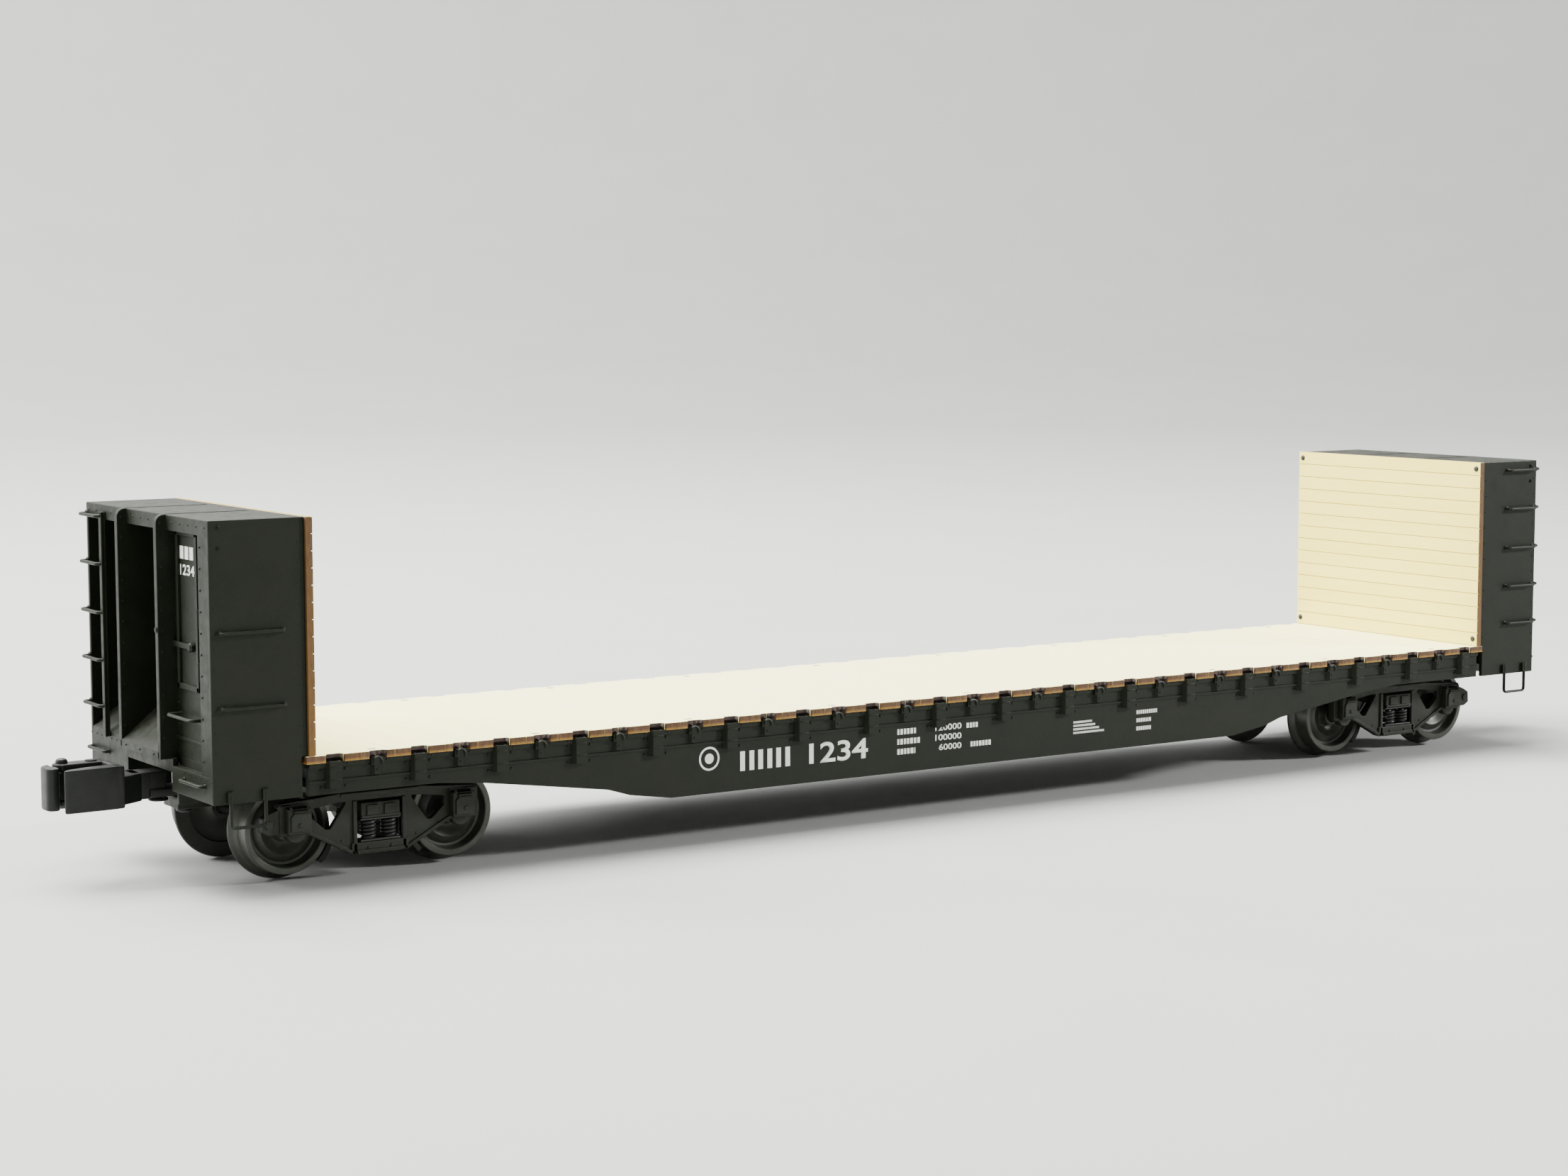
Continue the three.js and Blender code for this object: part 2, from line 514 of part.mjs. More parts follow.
function makeSideFrame(side) {
  const left = FRAME_OUTLINE.map(([x, z]) => [-x, z]).reverse();
  const plate = acrossY(outline([...FRAME_OUTLINE, ...left]), -FRAME_THICKNESS / 2, FRAME_THICKNESS / 2);
  const bosses = [1, -1].map((end) => bar([end * HALF_WHEELBASE, -FRAME_THICKNESS / 2, AXLE_Z],
    [end * HALF_WHEELBASE, FRAME_THICKNESS / 2, AXLE_Z], BOSS_RADIUS, 12));
  const window = acrossY(outline([[-WINDOW_HALF, WINDOW_BOTTOM], [WINDOW_HALF, WINDOW_BOTTOM],
    [WINDOW_HALF, WINDOW_TOP], [-WINDOW_HALF, WINDOW_TOP]]), -5, 5);
  const triangles = [1, -1].map((end) => acrossY(outline(
    FRAME_OPENING.map(([x, z]) => [end * x, z])), -5, 5));
  const boxes = [1, -1].map((end) => block(mirrored(BOX_X, end), [0, BOX_OUTER - FRAME_Y],
    [BOX_BOTTOM, BOX_TOP]));
  const lids = [1, -1].map((end) => block(mirrored([BOX_X[0] + 0.5, BOX_X[1] - 0.5], end),
    [0, BOX_OUTER - FRAME_Y + 0.4], [BOX_BOTTOM + 0.5, BOX_TOP - 0.9]));
  const ribs = [block([-9.0, 9.0], [0, 1.5], [17.3, 18.2]), block([-6.4, 6.4], [0, 1.5], [5.1, 6.1])];
  const bearings = [1, -1].map((end) => bar([end * HALF_WHEELBASE, -3, AXLE_Z],
    [end * HALF_WHEELBASE, 0.4, AXLE_Z], 1.2, 8));
  const whole = join([plate, ...bosses, ...boxes, ...lids, ...ribs]);
  const frame = cut(whole, [window, ...triangles, ...bearings]);
  const placed = side > 0 ? frame : frame.rotate([0, 0, 180]);
  const inner = -FRAME_THICKNESS / 2;
  const endLug = acrossY(outline(END_LUG), ...mirrored([inner, -inner], side));
  return placed.add(endLug).translate([0, side * FRAME_Y, 0]);
}

function makeSpringGroup(side) {
  const coilTurns = 3;
  const seatBottom = WINDOW_BOTTOM + PLAY;
  const seatTop = 12.6 - PLAY;
  const plateThickness = 0.5;
  const y = side * FRAME_Y;
  const levels = [[seatBottom, seatBottom + plateThickness], [seatTop - plateThickness, seatTop]];
  const plates = levels.map((z) => block([-4.6, 4.6], [y - 1.4, y + 1.4], z));
  const pitch = (seatTop - seatBottom - 2 * plateThickness) / coilTurns;
  const coils = [2.3, -2.3].map((x) => {
    const profile = [new THREE.Vector2(0, 0)];
    for (let i = 0; i < coilTurns; i += 1) {
      profile.push(new THREE.Vector2(1.0, i * pitch), new THREE.Vector2(1.7, (i + 0.5) * pitch));
    }
    profile.push(new THREE.Vector2(1.0, coilTurns * pitch), new THREE.Vector2(0, coilTurns * pitch));
    const geometry = new THREE.LatheGeometry(profile, 8);
    geometry.rotateX(Math.PI / 2);
    geometry.translate(x, y, seatBottom + plateThickness);
    return toSolid(geometry);
  });
  return join([...plates, ...coils]);
}

function makeAxle(x) {
  const journal = 0.9;
  return turnedAboutY([[0, -23.0], [journal, -22.6], [journal, -20.6], [AXLE_RADIUS, -20.4],
    [AXLE_RADIUS, 20.4], [journal, 20.6], [journal, 22.6], [0, 23.0]], x, AXLE_Z, 10);
}

function makeWheel(x, side) {
  const bore = AXLE_RADIUS + 0.12;
  const hub = WHEEL_OUTER_Y - 0.4;
  const back = WHEEL_BACK_Y;
  const profile = [[bore, back - 0.3], [bore, hub], [2.4, hub], [2.8, hub - 2.0], [5.5, hub - 0.7],
    [7.2, hub - 1.9], [8.2, WHEEL_OUTER_Y], [TREAD_RADIUS, WHEEL_OUTER_Y], [TREAD_RADIUS, back + 1.7],
    [FLANGE_RADIUS, back + 0.9], [FLANGE_RADIUS, back], [3.0, back], [bore, back - 0.3]];
  const placed = side > 0 ? profile.reverse() : profile.map(([r, y]) => [r, -y]);
  return turnedAboutY(placed, x, AXLE_Z, 20);
}

function makeKingpin() {
  const head = bar([0, 0, 10.6], [0, 0, 12.4], 2.9, 12);
  const washer = bar([0, 0, 12.3], [0, 0, 13.0], 3.4, 12);
  const shank = bar([0, 0, 12.8], [0, 0, 24.6], KINGPIN_RADIUS, 12);
  const driverSlot = block([-3.5, 3.5], [-0.4, 0.4], [10, 11.3]);
  return join([head, washer, shank]).subtract(driverSlot);
}

// ---------------------------------------------------------------- coupler on the truck arm
function makeCouplerHead() {
  const [pivotX, pivotY] = KNUCKLE_PIVOT;
  const tongue = block([28.0, 42.0], [-3.4, 3.4], [17.5, 19.2]);
  const shank = block([38.0, HEAD_BACK + 1], [-2.6, 2.6], [17.5, 22.9]);
  const neck = upZ(outline([[44.0, -2.6], [HEAD_BACK + 0.5, -5.8], [HEAD_BACK + 0.5, 5.6], [44.0, 2.6]]),
    16.9, 22.9);
  const back = block([HEAD_BACK, HEAD_BACK + 2.0], [-6.0, 6.2], [HEAD_BOTTOM, HEAD_TOP]);
  const guard = upZ(outline([[HEAD_BACK + 1, 6.2], [HEAD_BACK + 1, 2.6], [55.5, 3.4], [59.5, 4.6],
    [61.2, 5.6], [61.4, 6.2], [60.8, 6.6], [53.5, 6.4]]), HEAD_BOTTOM, HEAD_TOP);
  const ear = outline([[HEAD_BACK + 1, -6.0], [pivotX, -6.0], [pivotX + 1.6, -5.3], [pivotX + 1.95, pivotY],
    [pivotX + 1.4, -2.5], [pivotX + 0.4, -1.8], [HEAD_BACK + 1, -1.8]]);
  const ears = [HEAD_TOP - EAR_THICKNESS, HEAD_BOTTOM].map((z) => upZ(ear, z, z + EAR_THICKNESS));
  const pin = bar([pivotX, pivotY, HEAD_BOTTOM - 0.4], [pivotX, pivotY, HEAD_TOP + 0.5], 1.0, 8);
  const pinHead = bar([pivotX, pivotY, HEAD_TOP - 0.2], [pivotX, pivotY, HEAD_TOP + 1.1], 1.25, 10);
  const rivet = bar([33.4, 0, 13.6], [33.4, 0, 18], 1.0, 8);
  const rivetHead = bar([33.4, 0, 13.4], [33.4, 0, 14.4], 1.9, 8);
  const releaseHole = bar([39.1, 0, 14], [39.1, 0, 21], 1.3, 8);
  return join([tongue, shank, neck, back, guard, ...ears, pin, pinHead, rivet, rivetHead])
    .subtract(releaseHole);
}

// The knuckle turns between the ears on a thinner tang, and its nose is as tall as the head.
function makeKnuckle() {
  const [pivotX, pivotY] = KNUCKLE_PIVOT;
  const bottom = HEAD_BOTTOM + EAR_THICKNESS + FIT_GAP;
  const top = HEAD_TOP - EAR_THICKNESS - FIT_GAP;
  const tang = outline([[pivotX - 2.0, pivotY - 0.6], [pivotX - 1.2, pivotY - 1.8],
    [pivotX + 1.4, pivotY - 1.9], [pivotX + 3.2, pivotY - 1.4], [pivotX + 3.6, pivotY + 2.8],
    [pivotX + 2.6, pivotY + 3.4], [pivotX + 0.6, pivotY + 2.0], [pivotX - 1.6, pivotY + 1.4]]);
  const nose = outline([[pivotX + 2.2, pivotY - 1.4], [pivotX + 4.2, pivotY - 0.6],
    [COUPLER_TIP, pivotY + 1.6], [COUPLER_TIP, pivotY + 3.8], [COUPLER_TIP - 1.0, pivotY + 5.2],
    [COUPLER_TIP - 2.6, pivotY + 5.2], [pivotX + 1.9, pivotY + 3.4], [pivotX + 2.3, pivotY + 1.6],
    [pivotX + 2.5, pivotY]]);
  const hole = bar([pivotX, pivotY, 10], [pivotX, pivotY, 30], 1.3, 10);
  return join([upZ(tang, bottom, top), upZ(nose, HEAD_BOTTOM - 0.1, HEAD_TOP - 0.2)]).subtract(hole);
}

function makeRelease() {
  const stem = bar([39.1, 0, 16.8], [39.1, 0, 20.2], 0.8, 8);
  const disc = bar([39.1, 0, 16.3], [39.1, 0, 17.0], 2.1, 10);
  return stem.add(disc);
}

function addTruck(side, turn) {
  const truck = new THREE.Group();
  truck.position.x = Math.cos(turn) * TRUCK_CENTRE;
  truck.rotation.z = turn;
  addPiece(truck, `truck_bolster_${side}`, makeBolster(), TRUCK_PAINT);
  addPiece(truck, `kingpin_${side}`, makeKingpin(), STEEL);
  for (const [hand, sign] of [['a', -1], ['b', 1]]) {
    addPiece(truck, `side_frame_${side}_${hand}`, makeSideFrame(sign), TRUCK_PAINT);
    addPiece(truck, `spring_group_${side}_${hand}`, makeSpringGroup(sign), STEEL);
  }
  for (const [place, sign] of [['outer', 1], ['inner', -1]]) {
    const x = sign * HALF_WHEELBASE;
    addPiece(truck, `axle_${side}_${place}`, makeAxle(x), STEEL);
    addPiece(truck, `wheel_${side}_${place}_a`, makeWheel(x, -1), WHEEL_METAL);
    addPiece(truck, `wheel_${side}_${place}_b`, makeWheel(x, 1), WHEEL_METAL);
  }
  addPiece(truck, `coupler_head_${side}`, makeCouplerHead(), COUPLER_METAL);
  addPiece(truck, `knuckle_${side}`, makeKnuckle(), COUPLER_METAL);
  addPiece(truck, `release_pin_${side}`, makeRelease(), STEEL);
  car.add(truck);
}
addTruck('right', 0);
addTruck('left', Math.PI);

export default car;
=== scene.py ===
"""Model bulkhead flat car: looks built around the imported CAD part.

The scene is in metres. Shapes are written in millimetres, and both ends are drawn as the right one:
+X points out of the end, the ladder is on the -Y side and the panel on the +Y side.
"""
import json
import math
from random import Random

import bmesh
import bpy
from mathutils import Matrix, Vector


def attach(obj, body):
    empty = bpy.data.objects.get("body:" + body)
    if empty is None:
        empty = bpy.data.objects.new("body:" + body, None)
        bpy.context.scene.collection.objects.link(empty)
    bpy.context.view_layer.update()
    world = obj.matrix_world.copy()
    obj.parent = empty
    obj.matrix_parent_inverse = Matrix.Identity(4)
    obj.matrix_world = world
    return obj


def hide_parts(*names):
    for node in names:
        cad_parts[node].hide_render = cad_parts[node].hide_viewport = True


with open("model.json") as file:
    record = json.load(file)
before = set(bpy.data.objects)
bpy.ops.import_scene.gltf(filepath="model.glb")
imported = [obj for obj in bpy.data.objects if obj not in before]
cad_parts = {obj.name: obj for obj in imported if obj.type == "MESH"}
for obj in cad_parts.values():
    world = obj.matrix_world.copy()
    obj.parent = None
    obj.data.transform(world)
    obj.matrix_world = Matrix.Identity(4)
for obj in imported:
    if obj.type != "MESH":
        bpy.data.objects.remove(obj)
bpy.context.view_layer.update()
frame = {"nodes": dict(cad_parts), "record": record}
MM = 0.001


def new_object(name, data):
    made = bpy.data.objects.new(name, data)
    bpy.context.scene.collection.objects.link(made)
    return made


def turn_angles(count):
    """Even angles once round, in radians."""
    return [2 * math.pi * i / count for i in range(count)]


def finished_mesh(item):
    """An object's mesh as it looks with its modifiers, as a mesh of its own."""
    bpy.context.view_layer.update()
    return bpy.data.meshes.new_from_object(item.evaluated_get(bpy.context.evaluated_depsgraph_get()))


# ---- camera
VIEW_AZIMUTH = math.radians(-33.632)
VIEW_ELEVATION = math.radians(5.656)
VIEW_ROLL = math.radians(-0.075)
CAMERA_PLACE = (-0.415621, -0.579005, 0.120869)
CAMERA_LENS = 67.89


def make_camera():
    data = bpy.data.cameras.new("camera")
    data.lens = CAMERA_LENS
    data.sensor_width = 36.0
    camera = new_object("camera", data)
    camera.location = CAMERA_PLACE
    back = Vector((
        math.sin(VIEW_AZIMUTH) * math.cos(VIEW_ELEVATION),
        -math.cos(VIEW_AZIMUTH) * math.cos(VIEW_ELEVATION),
        math.sin(VIEW_ELEVATION),
    ))
    camera.rotation_mode = "QUATERNION"
    level = (-back).to_track_quat("-Z", "Y")
    camera.rotation_quaternion = level @ Matrix.Rotation(VIEW_ROLL, 3, "Z").to_quaternion()
    data.clip_start, data.clip_end = 0.01, 50.0
    bpy.context.scene.camera = camera


make_camera()


# ---- floor and light
def make_floor():
    """A pale sheet that lies flat under the car and curves up far behind it on every side."""
    rings = [0.0, 0.6, 1.2, 1.8, 2.2, 2.5, 2.75, 2.95, 3.08, 3.15, 3.18, 3.18]
    rises = [0.0, 0.0, 0.0, 0.01, 0.06, 0.16, 0.32, 0.55, 0.85, 1.2, 1.7, 3.0]
    around = 96
    angles = turn_angles(around)
    bm = bmesh.new()
    rows = []
    for radius, rise in zip(rings[1:], rises[1:]):
        rows.append([bm.verts.new((radius * math.cos(a), radius * math.sin(a), rise)) for a in angles])
    centre = bm.verts.new((0, 0, 0))
    for i in range(around):
        bm.faces.new((centre, rows[0][i], rows[0][(i + 1) % around]))
        for low, high in zip(rows, rows[1:]):
            bm.faces.new((low[i], high[i], high[(i + 1) % around], low[(i + 1) % around]))
    mesh = bpy.data.meshes.new("floor")
    bm.to_mesh(mesh)
    bm.free()
    for face in mesh.polygons:
        face.use_smooth = True
    floor = new_object("floor", mesh)
    return floor


def area_light(name, place, target, size, power, colour=(1, 1, 1)):
    data = bpy.data.lights.new(name, "AREA")
    data.shape = "RECTANGLE"
    data.size, data.size_y = size
    data.energy = power
    data.color = colour
    light = new_object(name, data)
    light.location = place
    light.rotation_mode = "QUATERNION"
    light.rotation_quaternion = (Vector(target) - Vector(place)).to_track_quat("-Z", "Y")


floor = make_floor()
area_light("overhead", (-0.25, 0.35, 1.5), (0, 0, 0.03), (1.6, 1.2), 125, (1.0, 0.995, 0.96))
area_light("left_window", (-1.35, 1.0, 0.95), (-0.15, 0, 0.04), (0.8, 0.8), 62)
area_light("front_right", (1.25, -0.85, 0.62), (0.05, 0, 0.02), (0.16, 0.16), 30)
area_light("wall_wash", (-0.5, 1.7, 2.3), (0.3, 3.1, 0.9), (1.4, 0.8), 160)


def make_world(strength):
    world = bpy.data.worlds.new("studio")
    world.use_nodes = True
    background = world.node_tree.nodes["Background"]
    background.inputs["Color"].default_value = (0.93, 0.94, 0.92, 1)
    background.inputs["Strength"].default_value = strength
    bpy.context.scene.world = world


make_world(0.38)


# ---- node materials
class Graph:
    """A material's node tree, built in a few words."""

    def __init__(self, name):
        self.material = bpy.data.materials.new(name)
        self.material.use_nodes = True
        self.tree = self.material.node_tree
        self.tree.nodes.clear()
        self.coordinates = None
        self.shader = self.node("ShaderNodeBsdfPrincipled")
        self.output = self.node("ShaderNodeOutputMaterial", Surface=self.shader.outputs["BSDF"])

    def node(self, kind, settings=None, **inputs):
        made = self.tree.nodes.new(kind)
        for key, value in (settings or {}).items():
            setattr(made, key, value)
        for key, value in inputs.items():
            self.feed(made, key, value)
        return made

    def feed(self, node, key, value):
        """Links or sets one input; a key such as _2 means input number 2."""
        socket = node.inputs[int(key[1:])] if key[0] == "_" else node.inputs[key]
        if isinstance(value, bpy.types.NodeSocket):
            self.tree.links.new(value, socket)
        else:
            socket.default_value = value

    def math(self, operation, a, b=0.0, clamp=False):
        settings = {"operation": operation, "use_clamp": clamp}
        return self.node("ShaderNodeMath", settings, _0=a, _1=b).outputs[0]

    def mix(self, factor, a, b):
        return self.node("ShaderNodeMix", {"data_type": "RGBA"}, _0=factor, _6=a, _7=b).outputs[2]

    def place(self, stretch=(1, 1, 1)):
        """Object coordinates, stretched, so that the pattern stays on the part as it moves."""
        if self.coordinates is None:
            self.coordinates = self.node("ShaderNodeTexCoord").outputs["Object"]
        return self.node("ShaderNodeMapping", None, Vector=self.coordinates, Scale=stretch).outputs[0]

    def noise(self, size_mm, detail=2.0, roughness=0.5, stretch=(1, 1, 1), distortion=0.0):
        """Noise whose blobs are about size_mm across."""
        made = self.node("ShaderNodeTexNoise", None, Vector=self.place(stretch), Scale=1.0 / (size_mm * MM),
                         Detail=detail, Roughness=roughness, Distortion=distortion)
        return made.outputs[0]

    def ramp(self, value, low, high, to_low=0.0, to_high=1.0):
        """The range low to high stretched to the range to_low to to_high, and clamped."""
        ends = {"_1": low, "_2": high, "_3": to_low, "_4": to_high}
        return self.node("ShaderNodeMapRange", {"clamp": True}, _0=value, **ends).outputs[0]

    def bump(self, heights):
        """Bumps as (height, depth in mm) pairs, one on top of the other."""
        normal = None
        for height, depth_mm in heights:
            made = self.node("ShaderNodeBump", None, Height=height, Distance=depth_mm * MM, Strength=1.0)
            if normal is not None:
                self.feed(made, "Normal", normal)
            normal = made.outputs[0]
        self.feed(self.shader, "Normal", normal)

    def finish(self, colour, roughness, bumps, metallic=0.0, specular=0.5):
        """Feeds the shader, and gives the finished material."""
        self.feed(self.shader, "Base Color", colour)
        self.feed(self.shader, "Roughness", roughness)
        self.feed(self.shader, "Metallic", metallic)
        self.feed(self.shader, "Specular IOR Level", specular)
        self.bump(bumps)
        return self.material

    def upward(self):
        """How far the surface faces up: 0 on walls and undersides, 1 on level tops."""
        normal = self.node("ShaderNodeNewGeometry").outputs["Normal"]
        return self.node("ShaderNodeSeparateXYZ", None, _0=normal).outputs[2]


DUST = (0.20, 0.20, 0.18, 1)
CHAR = (0.07, 0.035, 0.025, 1)


def painted(name, dark, light, roughness, metallic=0.0, specular=0.5, grain_mm=0.12, dust=0.12):
    """Moulded and painted surface: soft colour mottling, fine paint grain and a little dust on the tops."""
    g = Graph(name)
    cloud = g.ramp(g.noise(9.0, 4.0, 0.6), 0.3, 0.7)
    speck = g.ramp(g.noise(0.5, 3.0, 0.6), 0.35, 0.75)
    tone = g.math("ADD", g.math("MULTIPLY", cloud, 0.6), g.math("MULTIPLY", speck, 0.4))
    colour = g.mix(tone, (*dark, 1), (*light, 1))
    dusty = g.math("MULTIPLY", g.ramp(g.upward(), 0.4, 1.0), g.ramp(g.noise(3.0, 5.0, 0.65), 0.3, 0.7))
    colour = g.mix(g.math("MULTIPLY", dusty, dust), colour, DUST)
    rough = g.ramp(g.noise(2.2, 3.0), 0.25, 0.75, roughness - 0.07, roughness + 0.09)
    bumps = [(g.noise(grain_mm, 2.0), 0.012), (g.noise(1.4, 2.0), 0.02)]
    return g.finish(colour, rough, bumps, metallic, specular)


def worn_metal(name, base, bright, roughness, metallic=0.9):
    """Bare or blackened metal with fine streaks."""
    g = Graph(name)
    streak = g.noise(0.35, 4.0, 0.7)
    cloud = g.noise(4.0, 4.0, 0.6)
    tone = g.ramp(g.math("ADD", g.math("MULTIPLY", streak, 0.5), g.math("MULTIPLY", cloud, 0.5)), 0.3, 0.7)
    colour = g.mix(tone, (*base, 1), (*bright, 1))
    rough = g.ramp(streak, 0.2, 0.8, roughness - 0.1, roughness + 0.12)
    return g.finish(colour, rough, [(streak, 0.008), (g.noise(0.9), 0.015)], metallic)


def bare_wood(name, pale, deep, grain_axis, board_axis, board_pitch, board_start):
    """Basswood: long fine grain along one axis, with each board a shade of its own."""
    g = Graph(name)
    thin = [9.0, 9.0, 9.0]
    thin[grain_axis] = 0.5
    fibre = g.noise(2.4, 6.0, 0.65, tuple(thin), 0.3)
    broad = [2.0, 2.0, 2.0]
    broad[grain_axis] = 0.18
    band = g.noise(5.0, 3.0, 0.5, tuple(broad), 0.8)
    split = g.node("ShaderNodeSeparateXYZ", None, _0=g.place()).outputs[board_axis]
    board = g.math("FLOOR", g.math("DIVIDE", g.math("SUBTRACT", split, board_start * MM), board_pitch * MM))
    shade = g.node("ShaderNodeTexWhiteNoise", {"noise_dimensions": "1D"}, _1=board).outputs[0]
    fine = g.math("MULTIPLY", g.ramp(fibre, 0.35, 0.7), 0.45)
    wide = g.math("MULTIPLY", g.ramp(band, 0.4, 0.7), 0.35)
    tone = g.math("ADD", g.math("ADD", fine, wide), g.math("MULTIPLY", shade, 0.3), True)
    colour = g.mix(tone, (*pale, 1), (*deep, 1))
    rough = g.ramp(fibre, 0.3, 0.7, 0.62, 0.78)
    bumps = [(fibre, 0.03), (g.noise(0.25, 2.0, 0.5, tuple(thin)), 0.01)]
    return g.finish(colour, rough, bumps, specular=0.3)


CAR_PAINT = painted("car_paint", (0.0052, 0.0068, 0.0034), (0.0088, 0.0112, 0.0058), 0.44, specular=0.16)
TRUCK_PAINT = painted("truck_paint", (0.0105, 0.0120, 0.0082), (0.0180, 0.0200, 0.0140), 0.50,
                      grain_mm=0.2, dust=0.1, specular=0.22)
COUPLER_METAL = painted("coupler_metal", (0.0078, 0.0090, 0.0080), (0.0130, 0.0148, 0.0130), 0.40,
                        metallic=0.1, grain_mm=0.3, specular=0.25)
WHEEL_METAL = worn_metal("wheel_metal", (0.021, 0.023, 0.018), (0.038, 0.041, 0.032), 0.42, metallic=0.15)
TREAD_METAL = worn_metal("tread_metal", (0.033, 0.036, 0.028), (0.058, 0.062, 0.049), 0.36, metallic=0.3)
STEEL = worn_metal("steel", (0.10, 0.10, 0.095), (0.20, 0.20, 0.19), 0.32)
STEEL_DARK = worn_metal("steel_dark", (0.016, 0.016, 0.015), (0.036, 0.036, 0.034), 0.40, metallic=0.6)
DECK_WOOD = bare_wood("deck_wood", (0.98, 0.94, 0.52), (0.93, 0.86, 0.40), 1, 0, 3.824, 0.0)
LINING_WOOD = bare_wood("lining_wood", (0.95, 0.83, 0.22), (0.89, 0.74, 0.15), 1, 2, 3.4714, 28.25)


def scorched(name, low_colour, high_colour, low_z, high_z):
    """Wood edge burnt by the cutting beam: one colour at low_z, another at high_z, with upright streaks."""
    g = Graph(name)
    height = g.node("ShaderNodeSeparateXYZ", None, _0=g.place()).outputs[2]
    burn = g.ramp(height, low_z * MM, high_z * MM)
    streak = g.noise(0.6, 4.0, 0.6, (1, 1, 0.25))
    burn = g.math("ADD", burn, g.ramp(streak, 0.3, 0.7, -0.22, 0.22), True)
    char = g.ramp(g.noise(1.6, 3.0), 0.55, 0.75, 0.0, 0.5)
    colour = g.mix(char, g.mix(burn, (*low_colour, 1), (*high_colour, 1)), CHAR)
    rough = g.ramp(streak, 0.3, 0.7, 0.6, 0.8)
    return g.finish(colour, rough, [(streak, 0.03), (g.noise(0.2), 0.01)])


SCORCHED = scorched("scorched_edge", (0.27, 0.135, 0.008), (0.068, 0.027, 0.005), 26.8, 27.3)
# Notch and slot walls: the beam's burn, painted much darker to add painted shade inside the notches.
NOTCH_BURN_AND_SHADE = scorched("notch_burn_and_painted_shade", (0.060, 0.024, 0.006), (0.022, 0.009, 0.005), 26.8, 27.3)
SCORCHED_LINING = scorched("scorched_lining", (0.125, 0.056, 0.002), (0.072, 0.030, 0.002), 20.0, 80.0)
GROOVE = bare_wood("groove_wood", (0.66, 0.52, 0.22), (0.52, 0.38, 0.14), 1, 2, 3.4714, 28.25)


def mark_paint():
    g = Graph("mark_paint")
    worn = g.ramp(g.noise(0.35, 3.0, 0.6), 0.35, 0.7)
    colour = g.mix(worn, (0.74, 0.74, 0.70, 1), (0.60, 0.61, 0.57, 1))
    return g.finish(colour, g.ramp(worn, 0, 1, 0.45, 0.6), [(g.noise(0.12, 2.0), 0.008)])


MARK_PAINT = mark_paint()


def floor_material():
    g = Graph("floor_paper")
    cloud = g.noise(60.0, 2.0)
    colour = g.mix(cloud, (0.39, 0.395, 0.385, 1), (0.42, 0.425, 0.415, 1))
    rough = g.ramp(cloud, 0.2, 0.8, 0.8, 0.9)
    return g.finish(colour, rough, [(g.noise(0.8, 3.0), 0.02)], specular=0.2)


floor.data.materials.append(floor_material())

SLOT_FINISHES = {
    "car_paint": CAR_PAINT, "truck_paint": TRUCK_PAINT, "coupler_metal": COUPLER_METAL,
    "wheel_metal": WHEEL_METAL, "steel": STEEL, "pale_wood": DECK_WOOD,
}
for part in frame["record"]["subparts"]:
    node = part["node"]
    materials = frame["nodes"][node].data.materials
    materials.clear()
    materials.append(LINING_WOOD if node.startswith("lining") else SLOT_FINISHES[part["material_slot"]])


# ---- geometry, in millimetres
def span(side, near, far):
    """Two distances from the middle, as low and high on the side that 1 or -1 names."""
    return sorted((side * near, side * far))


def rounded_path(points, radius, steps=5):
    """The same path with every inner corner turned into an arc."""
    points = [Vector(p) for p in points]
    path = [points[0]]
    for before, corner, after in zip(points, points[1:], points[2:]):
        towards, away = (before - corner).normalized(), (after - corner).normalized()
        reach = min(radius, (before - corner).length / 2.01, (after - corner).length / 2.01)
        for i in range(steps + 1):
            t = i / steps
            path.append(corner + towards * reach * (1 - t) ** 2 + away * reach * t ** 2)
    return path + [points[-1]]


ROOT = 0.1
BEVELLED_FROM = math.radians(25)
SHARP_FROM = math.radians(36)


